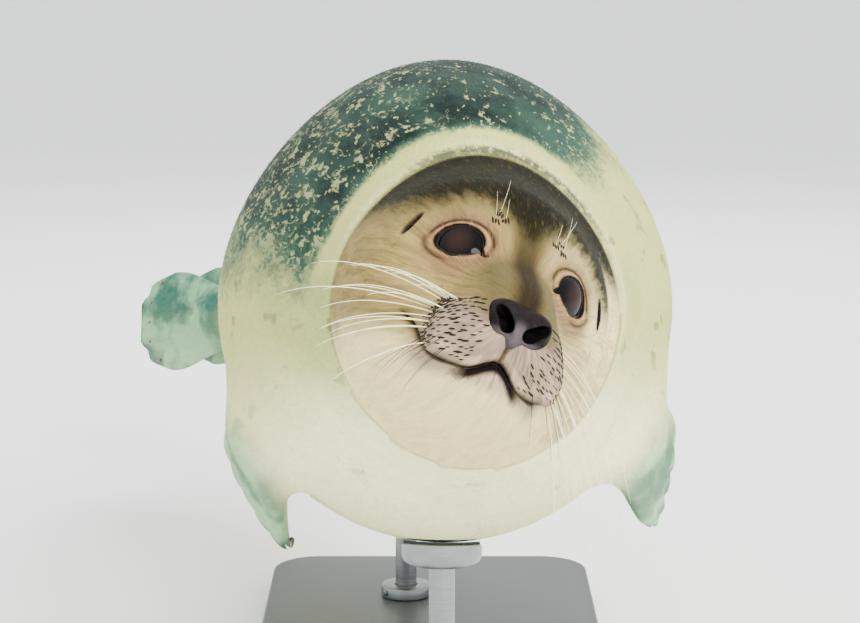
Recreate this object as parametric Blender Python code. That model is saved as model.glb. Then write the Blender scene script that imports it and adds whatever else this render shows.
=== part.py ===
"""A harbour seal in a swimming pose, at life size, on a plain display stand.

The seal is worked out in its own swimming frame: x to its left, y from nose to tail, z to its back,
with the point between its eyes near the origin. One smooth field gives the whole body. The body is
then parted into named pieces by thin plane cuts, tipped nose-up and set on the stand.
"""

import math

import bmesh
import bpy
import numpy as np
from mathutils import Matrix

# ---- driving dimensions, in metres and degrees ----
NOSE_UP = 10.0  # the whole animal is tipped by this
BODY_LIFT = 0.475  # from the floor to the swimming frame's origin
BODY_SHIFT = -0.600  # puts the stand, and not the eyes, at the middle
CUT_GAP = 0.0004  # between neighbouring pieces

EYE_SPACING = 0.090  # between the fronts of the two eyes
EYE_RADIUS = 0.0205
EYE_OUTWARD = 40.0
EYE_UPWARD = 12.0
EYE_OPENING = (0.0180, 0.0138)  # half width and half height between the lids
LID_DEPTH = 0.0014
ORBIT = (0.029, 0.019, 0.024)  # the hollow that each eye lies in
ORBIT_REACH = 0.0375  # from the eye's middle to the hollow's

HEAD_PLACE = (0.058, 0.0, 0.028)  # the point between the eyes
HEAD_ROLL = 24.5
HEAD_PITCH = 9.0
HEAD_YAW = 12.0

# the spine: place, half width, height above it, depth below it
SPINE = {
    "skull": ((0.038, 0.070, -0.006), 0.070, 0.074, 0.080),
    "nape": ((0.031, 0.150, -0.002), 0.108, 0.119, 0.117),
    "shoulder": ((0.020, 0.260, 0.003), 0.155, 0.172, 0.164),
    "chest": ((0.014, 0.390, 0.007), 0.189, 0.203, 0.198),
    "rib": ((0.010, 0.530, 0.006), 0.193, 0.205, 0.209),
    "belly": ((0.002, 0.710, 0.003), 0.179, 0.185, 0.197),
    "loin": ((-0.024, 0.890, 0.000), 0.148, 0.150, 0.161),
    "hip": ((-0.072, 1.060, -0.003), 0.109, 0.108, 0.116),
    "rump": ((-0.136, 1.205, -0.006), 0.073, 0.071, 0.078),
    "ankle": ((-0.206, 1.325, -0.008), 0.046, 0.044, 0.048),
}
BACK_NARROWING = 0.13  # how much slimmer the section is towards the back line
SPINE_END_REACH = 0.035  # how far the rounded end goes past the ankles

TAIL_PLACE = (-0.252, 1.392, -0.006)
TAIL_RADII = (0.027, 0.062, 0.014)
TAIL_HEADING = 34.0

HEAD_SEGMENTS = 32
MUZZLE_RING_STEP = 0.0094
BODY_RING_STEP = 0.054


# ---- small vector helpers ----
def turned(axis, degrees):
    """The 3x3 matrix of a turn about one axis."""
    return np.array(Matrix.Rotation(math.radians(degrees), 3, axis))


HEAD_TURN = turned("Y", HEAD_ROLL) @ turned("X", -HEAD_PITCH) @ turned("Z", HEAD_YAW)
WORLD_TURN = turned("X", -NOSE_UP)
WORLD_SHIFT = np.array([0.0, BODY_SHIFT, BODY_LIFT])


def unit(vector):
    return vector / np.linalg.norm(vector, axis=-1, keepdims=True)


def to_head(points):
    return (points - np.array(HEAD_PLACE)) @ HEAD_TURN


def from_head(points):
    return np.asarray(points) @ HEAD_TURN.T + np.array(HEAD_PLACE)


def to_world(points):
    return np.asarray(points) @ WORLD_TURN.T + WORLD_SHIFT


def from_world(points):
    return (np.asarray(points) - WORLD_SHIFT) @ WORLD_TURN


def smooth_union(first, second, blend):
    """The lower of two fields, rounded where they meet."""
    share = np.clip(0.5 + 0.5 * (second - first) / blend, 0.0, 1.0)
    return second * (1 - share) + first * share - blend * share * (1 - share)


def ellipsoid(points, centre, radii, turn=None):
    """A field that is 0 on an ellipsoid, negative inside, and near to the distance outside."""
    own = points - np.array(centre)
    if turn is not None:
        own = own @ turn
    near = np.linalg.norm(own / radii, axis=1)
    slope = np.linalg.norm(own / np.square(radii), axis=1)
    return near * (near - 1) / np.maximum(slope, 1e-9)


def pair(points, centre, radii, toe_out=0.0, blend=0.004):
    """The same ellipsoid on both sides of the head, blended where the two meet."""
    x, y, z = centre
    left = ellipsoid(points, (x, y, z), radii, turned("Z", toe_out))
    right = ellipsoid(points, (-x, y, z), radii, turned("Z", -toe_out))
    return smooth_union(left, right, blend)


def ramp(value, low, high):
    share = np.clip((value - low) / (high - low), 0.0, 1.0)
    return share * share * (3 - 2 * share)


# ---- the head, in its own frame: origin between the eyes, y backwards, z up ----
def eye_direction(side):
    out, up = math.radians(EYE_OUTWARD), math.radians(EYE_UPWARD)
    return np.array(
        [side * math.sin(out) * math.cos(up), -math.cos(out) * math.cos(up), math.sin(up)]
    )


def eye_centre(side):
    return np.array([side * EYE_SPACING / 2, 0.0, 0.0]) - EYE_RADIUS * eye_direction(side)


def eye_turn(side):
    """Columns: across the lids, outwards from the eye, and up."""
    outwards = eye_direction(side)
    across = unit(np.cross(outwards, [0, 0, 1]))
    return np.stack([across, outwards, np.cross(across, outwards)], axis=1)


def head_field(points):
    """The head: cranium, cheeks, brows, bridge and whisker pads over a lower jaw."""
    own = to_head(points)
    y = own[:, 1]
    skull = ellipsoid(own, (0, 0.088, -0.020), (0.090, 0.098, 0.086))
    skull = smooth_union(skull, pair(own, (0.036, 0.048, -0.048), (0.042, 0.058, 0.046), -10), 0.030)
    skull = smooth_union(skull, pair(own, (0.024, 0.032, 0.004), (0.022, 0.030, 0.013)), 0.030)
    bridge = ellipsoid(own, (0, -0.022, -0.037), (0.033, 0.051, 0.032), turned("X", 8))
    skull = smooth_union(skull, bridge, 0.030)
    for side in (1, -1):
        hollow = ellipsoid(own, eye_centre(side) + ORBIT_REACH * eye_direction(side), ORBIT, eye_turn(side))
        skull = -smooth_union(-skull, hollow, 0.016)
    lids = pair(own, eye_centre(1), (EYE_RADIUS + LID_DEPTH,) * 3)
    skull = smooth_union(skull, lids, 0.008)
    pads = pair(own, (0.0205, -0.037, -0.059), (0.0260, 0.036, 0.0235), 10, 0.008)
    upper = smooth_union(skull, pads, 0.018)
    chin = ellipsoid(own, (0, -0.032, -0.082), (0.027, 0.033, 0.0165), turned("X", 10))
    throat = ellipsoid(own, (0, 0.030, -0.078), (0.060, 0.075, 0.043))
    jaw = smooth_union(chin, throat, 0.030)
    lips = 0.006 + 0.024 * ramp(y, -0.030, 0.012)
    return smooth_union(upper, jaw, lips)


# ---- the trunk, swept along the spine ----
def spine_table(samples=400):
    """Spine places and radii, evenly close together, on a smooth curve through the stations."""
    rows = np.array([[*place, *radii] for place, *radii in SPINE.values()])
    steps = np.linalg.norm(np.diff(rows[:, :3], axis=0), axis=1)
    along = np.concatenate([[0], np.cumsum(steps)])
    slopes = np.gradient(rows, along, axis=0)
    at = np.linspace(0, along[-1], samples)
    i = np.clip(np.searchsorted(along, at) - 1, 0, len(rows) - 2)
    width = (along[i + 1] - along[i])[:, None]
    t = ((at - along[i])[:, None]) / width
    curve = (
        (2 * t**3 - 3 * t**2 + 1) * rows[i]
        + (t**3 - 2 * t**2 + t) * width * slopes[i]
        + (3 * t**2 - 2 * t**3) * rows[i + 1]
        + (t**3 - t**2) * width * slopes[i + 1]
    )
    return at, curve


SPINE_AT, SPINE_ROWS = spine_table()
SPINE_LENGTH = SPINE_AT[-1]
SPINE_TANGENTS = np.gradient(SPINE_ROWS[:, :3], SPINE_AT, axis=0)
SPINE_TANGENTS /= np.linalg.norm(SPINE_TANGENTS, axis=1)[:, None]


def read_spine(table, at):
    return np.stack([np.interp(at, SPINE_AT, column) for column in table.T], axis=1)


def along_spine(points):
    """For each point, the nearest spine distance, and how far beyond either end it lies."""
    at = np.interp(points[:, 1], SPINE_ROWS[:, 1], SPINE_AT)
    for _ in range(5):
        place = read_spine(SPINE_ROWS[:, :3], at)
        ahead = ((points - place) * read_spine(SPINE_TANGENTS, at)).sum(axis=1)
        wanted = at + ahead
        at = np.clip(wanted, 0, SPINE_LENGTH)
    return at, wanted - at


def trunk_field(points):
    at, beyond = along_spine(points)
    rows = read_spine(SPINE_ROWS, at)
    tangent = read_spine(SPINE_TANGENTS, at)
    offset = points - rows[:, :3] - beyond[:, None] * tangent
    side = np.stack([tangent[:, 1], -tangent[:, 0], np.zeros(len(at))], axis=1)
    side /= np.linalg.norm(side, axis=1)[:, None]
    across = (offset * side).sum(axis=1)
    up = (offset * np.cross(side, tangent)).sum(axis=1)
    width = rows[:, 3]
    height = np.where(up > 0, rows[:, 4], rows[:, 5])
    rise = np.clip(up / height, 0, 1)
    width = width * (1 - BACK_NARROWING * rise**1.6)
    reach = np.hypot(np.hypot(across / width, up / height), beyond / SPINE_END_REACH)
    return (reach - 1) * (rows[:, 3] + height) / 2


def tail_field(points):
    return ellipsoid(points, TAIL_PLACE, TAIL_RADII, turned("Z", TAIL_HEADING))


def seal_field(points):
    """The whole body without its flippers: 0 on the surface, negative inside."""
    body = smooth_union(trunk_field(points), tail_field(points), 0.025)
    return smooth_union(body, head_field(points), 0.045)


# ---- rings of points on the field's surface ----
def core_table():
    """Stations of the line that rings grow from: place, turn, lean in degrees."""
    level = np.eye(3)
    muzzle = from_head([0, -0.032, -0.057])
    skull = from_head([0, 0.075, -0.030])

    def spine_station(at):
        place = read_spine(SPINE_ROWS[:, :3], np.array([at]))[0]
        tangent = read_spine(SPINE_TANGENTS, np.array([at]))[0]
        heading = math.degrees(math.atan2(-tangent[0], tangent[1]))
        return place, turned("Z", heading)

    stations = [(muzzle, HEAD_TURN, 90.0), (muzzle, HEAD_TURN, 12.0), (skull, HEAD_TURN, 4.0)]
    for at in np.linspace(0.14, SPINE_LENGTH - 0.01, 14):
        place, turn = spine_station(at)
        stations.append((place, turn if at > 0.3 else level, 0.0))
    tail = np.array(TAIL_PLACE)
    heading = turned("Z", TAIL_HEADING)
    stations.append((tail, heading, 0.0))
    stations.append((tail, heading, -90.0))
    return stations


def ring_directions(turn, lean, segments):
    angles = np.arange(segments) * 2 * math.pi / segments
    flat = math.cos(math.radians(lean))
    forward = -math.sin(math.radians(lean))
    own = np.stack([flat * np.cos(angles), np.full(segments, forward), flat * np.sin(angles)], axis=1)
    return own @ turn.T


def core_at(stations, t):
    """Place, turn and lean part-way between two stations."""
    i = min(int(t), len(stations) - 2)
    share = t - i
    (place_a, turn_a, lean_a), (place_b, turn_b, lean_b) = stations[i], stations[i + 1]
    first = Matrix(turn_a.tolist()).to_quaternion()
    turn = np.array(first.slerp(Matrix(turn_b.tolist()).to_quaternion(), share).to_matrix())
    place = (1 - share) * np.array(place_a) + share * np.array(place_b)
    return place, turn, (1 - share) * lean_a + share * lean_b


def surface_points(starts, directions, skin=0.0, far=0.30):
    """Where rays from inside leave the body's outermost surface, moved out by skin."""
    reach = np.full(len(starts), far)
    for _ in range(60):
        value = seal_field(starts + directions * reach[:, None]) - skin
        reach = np.clip(reach - 0.75 * value, 0.0, far)
    return starts + directions * reach[:, None]


def ring_grid(segments, muzzle_step, body_step, skin=0.0):
    """Rings of surface points from nose to tail, close together at the muzzle, wider along the body."""
    stations = core_table()
    probe_t = np.linspace(0, len(stations) - 1, 60 * (len(stations) - 1) + 1)
    probe = [core_at(stations, t) for t in probe_t]
    starts = np.repeat([p[0] for p in probe], 8, axis=0)
    directions = np.concatenate([ring_directions(p[1], p[2], 8) for p in probe])
    hits = surface_points(starts, directions).reshape(-1, 8, 3)
    gaps = np.linalg.norm(np.diff(hits, axis=0), axis=2).mean(axis=1)
    along = np.concatenate([[0], np.cumsum(gaps)])
    size = muzzle_step + (body_step - muzzle_step) * ramp(along, 0.12, 0.36)
    size = np.minimum(size, 0.016 + 0.26 * (along[-1] - along))
    counts = np.concatenate([[0], np.cumsum(np.diff(along) / size[1:])])
    rings = int(round(counts[-1]))
    chosen = np.interp(np.linspace(0, counts[-1], rings + 1), counts, probe_t)
    inner = [core_at(stations, t) for t in chosen[1:-1]]
    starts = np.repeat([p[0] for p in inner], segments, axis=0)
    directions = np.concatenate([ring_directions(p[1], p[2], segments) for p in inner])
    grid = surface_points(starts, directions, skin).reshape(-1, segments, 3)
    ends = []
    for t in (chosen[0], chosen[-1]):
        place, turn, lean = core_at(stations, t)
        ends.append(surface_points(place[None], ring_directions(turn, lean, 1), skin)[0])
    return grid, ends


def add_mesh_object(name, vertices, faces):
    """A mesh object in world space with its faces pointing out."""
    mesh = bpy.data.meshes.new(name)
    mesh.from_pydata([tuple(v) for v in vertices], [], faces)
    shape = bmesh.new()
    shape.from_mesh(mesh)
    bmesh.ops.recalc_face_normals(shape, faces=shape.faces)
    shape.to_mesh(mesh)
    shape.free()
    made = bpy.data.objects.new(name, mesh)
    bpy.context.scene.collection.objects.link(made)
    return made


def tube_faces(rings, segments):
    """Triangles between neighbouring rings."""
    faces = []
    for i in range(rings - 1):
        low, high = i * segments, (i + 1) * segments
        for j in range(segments):
            k = (j + 1) % segments
            faces += [(low + j, low + k, high + k), (low + j, high + k, high + j)]
    return faces


def whole_body(name, skin=0.0):
    """The body without flippers as one closed mesh, its surface moved out by skin."""
    grid, ends = ring_grid(HEAD_SEGMENTS, MUZZLE_RING_STEP, BODY_RING_STEP, skin)
    rings, segments = grid.shape[:2]
    vertices = np.vstack([grid.reshape(-1, 3), *ends])
    faces = tube_faces(rings, segments)
    last = (rings - 1) * segments
    for j in range(segments):
        k = (j + 1) % segments
        faces.append((len(vertices) - 2, k, j))
        faces.append((len(vertices) - 1, last + j, last + k))
    return add_mesh_object(name, to_world(vertices), faces)


# ---- Booleans and cuts ----
def boolean(target, other, operation, keep=False):
    """Applies one Boolean and removes the other object, unless it is kept for more cuts."""
    modifier = target.modifiers.new(operation.lower(), "BOOLEAN")
    modifier.operation = operation
    modifier.object = other
    graph = bpy.context.evaluated_depsgraph_get()
    result = bpy.data.meshes.new_from_object(target.evaluated_get(graph))
    target.modifiers.clear()
    target.data = result
    if not keep:
        bpy.data.objects.remove(other)


def copy_of(source, name):
    made = bpy.data.objects.new(name, source.data.copy())
    bpy.context.scene.collection.objects.link(made)
    return made


def keep_side(piece, place, normal):
    """Cuts the piece with a plane, keeps what the normal points at, and closes the cut."""
    shape = bmesh.new()
    shape.from_mesh(piece.data)
    everything = shape.verts[:] + shape.edges[:] + shape.faces[:]
    start = place + normal * CUT_GAP / 2
    cut = bmesh.ops.bisect_plane(
        shape, geom=everything, dist=1e-6, plane_co=start, plane_no=normal, clear_inner=True
    )
    rim = [item for item in cut["geom_cut"] if isinstance(item, bmesh.types.BMEdge)]
    bmesh.ops.contextual_create(shape, geom=rim)
    bmesh.ops.triangulate(shape, faces=shape.faces[:])
    bmesh.ops.recalc_face_normals(shape, faces=shape.faces)
    shape.to_mesh(piece.data)
    shape.free()


def slice_of(source, name, cuts, material):
    """A copy of the source kept on one side of each (place, normal) cut."""
    piece = copy_of(source, name)
    for place, normal in cuts:
        keep_side(piece, place, normal)
    finish_piece(piece, material)
    return piece


def finish_piece(piece, material):
    piece.data.materials.clear()
    piece.data.materials.append(material)
    piece.data.shade_smooth()
    piece.data.set_sharp_from_angle(angle=math.radians(50))


def head_cut(y, z=None, tip=0.0):
    """A plane across the head at y, or along it at height z tipped up by tip degrees."""
    if z is None:
        place, normal = (0, y, 0), (0, 1, 0)
    else:
        place, normal = (0, y, z), (0, -math.sin(math.radians(tip)), math.cos(math.radians(tip)))
    return to_world(from_head(place)), WORLD_TURN @ HEAD_TURN @ np.array(normal)


def spine_cut(y, head_share=0.0):
    """A plane square to the spine where it passes y, turned partly towards the head's own axis."""
    at = np.array([np.interp(y, SPINE_ROWS[:, 1], SPINE_AT)])
    place = read_spine(SPINE_ROWS[:, :3], at)[0]
    normal = (1 - head_share) * read_spine(SPINE_TANGENTS, at)[0] + head_share * HEAD_TURN[:, 1]
    return to_world(place), WORLD_TURN @ (normal / np.linalg.norm(normal))


def other_side(cut):
    place, normal = cut
    return place, -normal


# ---- flippers ----
DIGITS = np.array([-0.8, -0.4, 0.0, 0.4, 0.8])  # across a flipper, from its trailing to its leading edge
FORE_SIZES = {
    "half_widths": (0.042, 0.037, 0.047, 0.040),
    "half_depths": (0.030, 0.0175, 0.0105, 0.0055),
    "short_side": 0.22,  # how much shorter the trailing edge is
    "notch": 0.0,
    "round": 0.05,  # how much the two edges are cut back at the tip
    "root_fillet": 0.022,
    "claw": 0.019,
}
HIND_SIZES = {
    "half_widths": (0.030, 0.033, 0.051, 0.062),
    "half_depths": (0.024, 0.0160, 0.0085, 0.0045),
    "short_side": 0.0,
    "notch": 0.03,  # how much shorter the middle digits are
    "round": 0.10,
    "root_fillet": 0.014,
    "claw": 0.011,
}
FLIPPERS = {
    "flipper_fore_right": {
        "line": ((-0.096, 0.330, -0.056), (-0.150, 0.372, -0.124), (-0.130, 0.505, -0.193)),
        "leading": (0.52, -0.48, -0.70),
        "sizes": FORE_SIZES,
    },
    "flipper_fore_left": {
        "line": ((0.118, 0.330, -0.052), (0.177, 0.372, -0.114), (0.206, 0.500, -0.166)),
        "leading": (-0.40, -0.47, -0.75),
        "sizes": FORE_SIZES,
    },
    "flipper_hind_right": {
        "line": ((-0.196, 1.262, -0.010), (-0.262, 1.345, -0.008), (-0.370, 1.470, -0.015)),
        "leading": (0.0, 0.10, 0.99),
        "sizes": HIND_SIZES,
    },
    "flipper_hind_left": {
        "line": ((-0.150, 1.292, -0.010), (-0.206, 1.385, -0.006), (-0.312, 1.518, -0.006)),
        "leading": (0.0, 0.06, 1.0),
        "sizes": HIND_SIZES,
    },
}


def flipper_surface(flipper, along, across, over):
    """Points of a flipper: along from 0 to 1, across from -1 to 1, over from -1 inside to 1 outside."""
    start, wrist, tip = (np.array(point) for point in flipper["line"])
    sizes = flipper["sizes"]
    scallop = 0.022 * np.cos(5 * math.pi * across) * ramp(along, 0.6, 1.0)
    reach = 1 - sizes["short_side"] * (1 - across) / 2 - sizes["notch"] * (1 - across**2)
    reach -= sizes["round"] * across**4
    t = (along * (1 - ramp(along, 0.3, 1.0) * (1 - reach)) + scallop)[:, None]
    bend = wrist + (wrist - (start + tip) / 2) * 0.5
    line = (1 - t) ** 2 * start + 2 * t * (1 - t) * bend + t**2 * tip
    ahead = unit(2 * (1 - t) * (bend - start) + 2 * t * (tip - bend))
    leading = np.array(flipper["leading"], float)
    leading = unit(leading - (ahead * leading).sum(axis=1)[:, None] * ahead)
    outer = unit(np.cross(leading, ahead)) * (1 if "right" in flipper["name"] else -1)
    marks = np.linspace(0, 1, 4)
    half_width = np.interp(along, marks, sizes["half_widths"])
    half_depth = np.interp(along, marks, sizes["half_depths"])
    ridge = 1 + 0.16 * np.cos(5 * math.pi * across) * ramp(along, 0.35, 0.75)
    cup = -0.10 * half_width * across**2
    points = line + leading * (half_width * across)[:, None]
    return points + outer * (half_depth * over * ridge + cup)[:, None], outer, ahead


def flared(points, centres, fillet):
    """Pushes points near the body outwards, so that a flipper's root flows into the flank."""
    distance = np.clip(seal_field(points), 0, fillet)
    push = 0.6 * (fillet - np.sqrt(np.maximum(fillet**2 - (fillet - distance) ** 2, 0)))
    return points + unit(points - centres) * push[:, None]


def flipper_grid(flipper, segments, rings):
    angles = (np.arange(segments) + 0.5) * 2 * math.pi / segments
    along = np.repeat(1 - (1 - np.linspace(0, 1, rings)) ** 1.25, segments)
    around = np.tile(angles, rings)
    round_tip = np.sqrt(np.clip(1 - along**10, 0.10, 1))
    across = np.cos(around)
    points, _, _ = flipper_surface(flipper, along, across, np.sin(around) * round_tip)
    centres, _, _ = flipper_surface(flipper, along, 0.85 * across, 0 * along)
    return flared(points, centres, flipper["sizes"]["root_fillet"])


def add_claws(flipper):
    """Five curved claws as one mesh of five closed cones, each rooted in the end of its digit."""
    vertices, faces = [], []
    sides, bands = 5, 2
    length = flipper["sizes"]["claw"]
    for digit in DIGITS:
        root, outer, ahead = flipper_surface(
            flipper, np.array([0.93]), np.array([digit]), np.array([0.55])
        )
        outer, ahead = outer[0], ahead[0]
        across = np.cross(outer, ahead)
        first = len(vertices)
        for band in range(bands):
            share = band / bands
            centre = root[0] + ahead * length * share - outer * length * 0.35 * share**2
            radius = length * 0.17 * (1 - share) ** 0.7
            for side in range(sides):
                angle = side * 2 * math.pi / sides
                vertices.append(centre + radius * (math.cos(angle) * across + math.sin(angle) * outer))
        vertices.append(root[0] + ahead * length - outer * length * 0.35)
        for band in range(bands - 1):
            for side in range(sides):
                k = (side + 1) % sides
                low, high = first + band * sides, first + (band + 1) * sides
                faces.append((low + side, low + k, high + k, high + side))
        rim = first + (bands - 1) * sides
        faces += [(rim + side, rim + (side + 1) % sides, len(vertices) - 1) for side in range(sides)]
        faces.append(tuple(first + side for side in range(sides)))
    return add_mesh_object("claws", to_world(vertices), faces)


def add_flipper(name, cutter, segments=16, rings=9):
    flipper = FLIPPERS[name]
    vertices = flipper_grid(flipper, segments, rings)
    faces = tube_faces(rings, segments)
    for ring in (0, rings - 1):
        first = ring * segments
        for j in range(segments // 2 - 1):
            faces.append((first + j, first + j + 1, first + segments - 2 - j, first + segments - 1 - j))
    piece = add_mesh_object(name, to_world(vertices), faces)
    boolean(piece, add_claws(flipper), "UNION")
    boolean(piece, cutter, "DIFFERENCE", keep=True)
    finish_piece(piece, coat_material(FLIPPER_COLOUR))


# ---- eyes and nose ----
NOSE_PLACE = (0, -0.0655, -0.0445)
NOSE_RADII = (0.0215, 0.0115, 0.0140)
NOSE_TIP = -22.0  # its front faces a little upwards
NOSE_SIDES = (18, 10)
NOSTRIL = {"place": (0.0100, -0.0735, -0.0455), "radii": (0.0042, 0.0085, 0.0078), "lean": 48.0}


def add_ellipsoid(name, centre, radii, turn, segments=16, rings=9):
    """An ellipsoid placed and turned in the head's frame."""
    shape = bmesh.new()
    bmesh.ops.create_uvsphere(shape, u_segments=segments, v_segments=rings, radius=1)
    points = np.array([vertex.co for vertex in shape.verts]) * radii
    points = to_world(from_head(points @ turn.T + centre))
    for vertex, point in zip(shape.verts, points):
        vertex.co = point
    mesh = bpy.data.meshes.new(name)
    shape.to_mesh(mesh)
    shape.free()
    made = bpy.data.objects.new(name, mesh)
    bpy.context.scene.collection.objects.link(made)
    return made


def add_eye(name, side, head):
    turn = eye_turn(side)
    centre = eye_centre(side)
    socket = add_ellipsoid("socket", centre, (EYE_RADIUS + CUT_GAP,) * 3, turn)
    boolean(head, socket, "DIFFERENCE")
    gap = add_ellipsoid(
        "lid_gap", centre + 0.016 * turn[:, 1], (EYE_OPENING[0], 0.015, EYE_OPENING[1]), turn
    )
    boolean(head, gap, "DIFFERENCE")
    eye = add_ellipsoid(name, centre, (EYE_RADIUS,) * 3, turn)
    finish_piece(eye, plain_material("eye_dark", (0.016, 0.010, 0.008), 0.06))


def add_nose(muzzle):
    turn = turned("X", NOSE_TIP)
    grown = tuple(radius + CUT_GAP for radius in NOSE_RADII)
    boolean(muzzle, add_ellipsoid("nose_bed", NOSE_PLACE, grown, turn, *NOSE_SIDES), "DIFFERENCE")
    nose = add_ellipsoid("nose", NOSE_PLACE, NOSE_RADII, turn, *NOSE_SIDES)
    for side in (1, -1):
        x, y, z = NOSTRIL["place"]
        lean = turned("Y", side * NOSTRIL["lean"])
        hole = add_ellipsoid("nostril", (side * x, y, z), NOSTRIL["radii"], lean, 8, 6)
        boolean(nose, hole, "DIFFERENCE")
    finish_piece(nose, plain_material("nose_leather", (0.075, 0.062, 0.064), 0.42))


# ---- materials ----
def plain_material(name, colour, roughness, metallic=0.0):
    material = bpy.data.materials.get(name) or bpy.data.materials.new(name)
    material.use_nodes = True
    shader = material.node_tree.nodes["Principled BSDF"]
    shader.inputs["Base Color"].default_value = (*colour, 1)
    shader.inputs["Roughness"].default_value = roughness
    shader.inputs["Metallic"].default_value = metallic
    return material


COAT_COLOUR = (0.62, 0.60, 0.44)
FACE_COLOUR = (0.50, 0.44, 0.33)
FLIPPER_COLOUR = (0.38, 0.45, 0.36)


def coat_material(colour):
    name = {COAT_COLOUR: "coat_body", FACE_COLOUR: "coat_face"}.get(colour, "coat_flipper")
    return plain_material(name, colour, 0.50)


# ---- the display stand, in world space ----
BASE_SIZE = (0.34, 0.80, 0.024)
BASE_CORNER = 0.050
BASE_EDGE = 0.003
ROD_RADIUS = 0.011
RODS = {"front": -0.215, "rear": 0.250}  # where each rod stands along the base
COLLAR = (0.026, 0.012)  # radius, height
CUP = (0.034, 0.014)
STAND_GAP = 0.0003


def add_disc(name, x, y, low, high, radius, edge, material, segments=16):
    shape = bmesh.new()
    depth = high - low
    bmesh.ops.create_cone(
        shape, cap_ends=True, segments=segments, radius1=radius, radius2=radius, depth=depth
    )
    if edge:
        rims = [e for e in shape.edges if abs(e.verts[0].co.z - e.verts[1].co.z) < 1e-6]
        bmesh.ops.bevel(shape, geom=rims, offset=edge, segments=1, affect="EDGES", profile=0.5)
    bmesh.ops.translate(shape, verts=shape.verts, vec=(x, y, (low + high) / 2))
    mesh = bpy.data.meshes.new(name)
    shape.to_mesh(mesh)
    shape.free()
    made = bpy.data.objects.new(name, mesh)
    bpy.context.scene.collection.objects.link(made)
    finish_piece(made, material)
    return made


def belly_above(y_world):
    """The height of the belly's lowest line over a point of the base, and where it is across."""
    heights = np.linspace(0.05, 0.40, 700)
    best = None
    for x in np.linspace(-0.06, 0.06, 25):
        column = np.stack([np.full(700, x), np.full(700, y_world), heights], axis=1)
        inside = seal_field(from_world(column)) < 0
        if inside.any() and (best is None or heights[inside.argmax()] < best[1]):
            best = (x, heights[inside.argmax()])
    return best


def add_stand(cutter):
    steel = plain_material("rod_steel", (0.55, 0.55, 0.56), 0.32, 1.0)
    paint = plain_material("base_paint", (0.055, 0.060, 0.065), 0.45)
    shape = bmesh.new()
    bmesh.ops.create_cube(shape, size=1)
    for vertex in shape.verts:
        vertex.co.x *= BASE_SIZE[0]
        vertex.co.y *= BASE_SIZE[1]
        vertex.co.z = (vertex.co.z + 0.5) * BASE_SIZE[2]
    uprights = [e for e in shape.edges if abs(e.verts[0].co.z - e.verts[1].co.z) > 1e-3]
    bmesh.ops.bevel(shape, geom=uprights, offset=BASE_CORNER, segments=6, affect="EDGES", profile=0.5)
    top = [e for e in shape.edges if min(v.co.z for v in e.verts) > BASE_SIZE[2] - 1e-6]
    bmesh.ops.bevel(shape, geom=top, offset=BASE_EDGE, segments=2, affect="EDGES", profile=0.5)
    mesh = bpy.data.meshes.new("stand_base")
    shape.to_mesh(mesh)
    shape.free()
    base = bpy.data.objects.new("stand_base", mesh)
    bpy.context.scene.collection.objects.link(base)
    finish_piece(base, paint)
    floor = BASE_SIZE[2] + STAND_GAP
    for end, y in RODS.items():
        x, belly = belly_above(y)
        cup_low = belly - CUP[1]
        rod = add_disc(
            f"stand_rod_{end}", x, y, floor, cup_low - STAND_GAP, ROD_RADIUS, 0, steel
        )
        collar = add_disc(
            f"stand_collar_{end}", x, y, floor, floor + COLLAR[1], COLLAR[0], 0.002, steel
        )
        bore = add_disc("bore", x, y, 0, 2 * floor + COLLAR[1], ROD_RADIUS + STAND_GAP, 0, steel)
        boolean(collar, bore, "DIFFERENCE")
        finish_piece(collar, steel)
        cup = add_disc(f"stand_cup_{end}", x, y, cup_low, belly + 0.05, CUP[0], 0, steel)
        boolean(cup, cutter, "DIFFERENCE", keep=True)
        finish_piece(cup, steel)
        rod.data.shade_smooth()
        rod.data.set_sharp_from_angle(angle=math.radians(50))


# ---- the model ----
def build():
    for old in list(bpy.data.objects):
        bpy.data.objects.remove(old)
    for name, flipper in FLIPPERS.items():
        flipper["name"] = name
    body = whole_body("body_whole")
    cutter = whole_body("body_cutter", CUT_GAP)
    coat, face = coat_material(COAT_COLOUR), coat_material(FACE_COLOUR)
    behind_muzzle, mouth = head_cut(-0.021), head_cut(-0.041, -0.0745, -3.0)
    nape, shoulder = spine_cut(0.155, 0.5), spine_cut(0.300)
    rib, loin, rump, ankle = spine_cut(0.600), spine_cut(0.880), spine_cut(1.130), spine_cut(1.318)
    before = other_side
    muzzle = slice_of(body, "muzzle", [before(behind_muzzle), mouth], face)
    slice_of(body, "lower_jaw", [before(behind_muzzle), before(mouth)], face)
    head = slice_of(body, "head", [behind_muzzle, before(nape)], face)
    slice_of(body, "neck", [nape, before(shoulder)], coat)
    slice_of(body, "chest", [shoulder, before(rib)], coat)
    slice_of(body, "belly", [rib, before(loin)], coat)
    slice_of(body, "hips", [loin, before(rump)], coat)
    slice_of(body, "rump", [rump, before(ankle)], coat)
    slice_of(body, "tail", [ankle], coat)
    for name in FLIPPERS:
        add_flipper(name, cutter)
    add_eye("eye_left", 1, head)
    add_eye("eye_right", -1, head)
    finish_piece(head, face)
    add_nose(muzzle)
    finish_piece(muzzle, face)
    add_stand(cutter)
    bpy.data.objects.remove(cutter)
    bpy.data.objects.remove(body)


build()
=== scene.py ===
import math

import bpy
import numpy as np
from mathutils import Matrix, Vector
from mathutils.kdtree import KDTree


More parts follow.
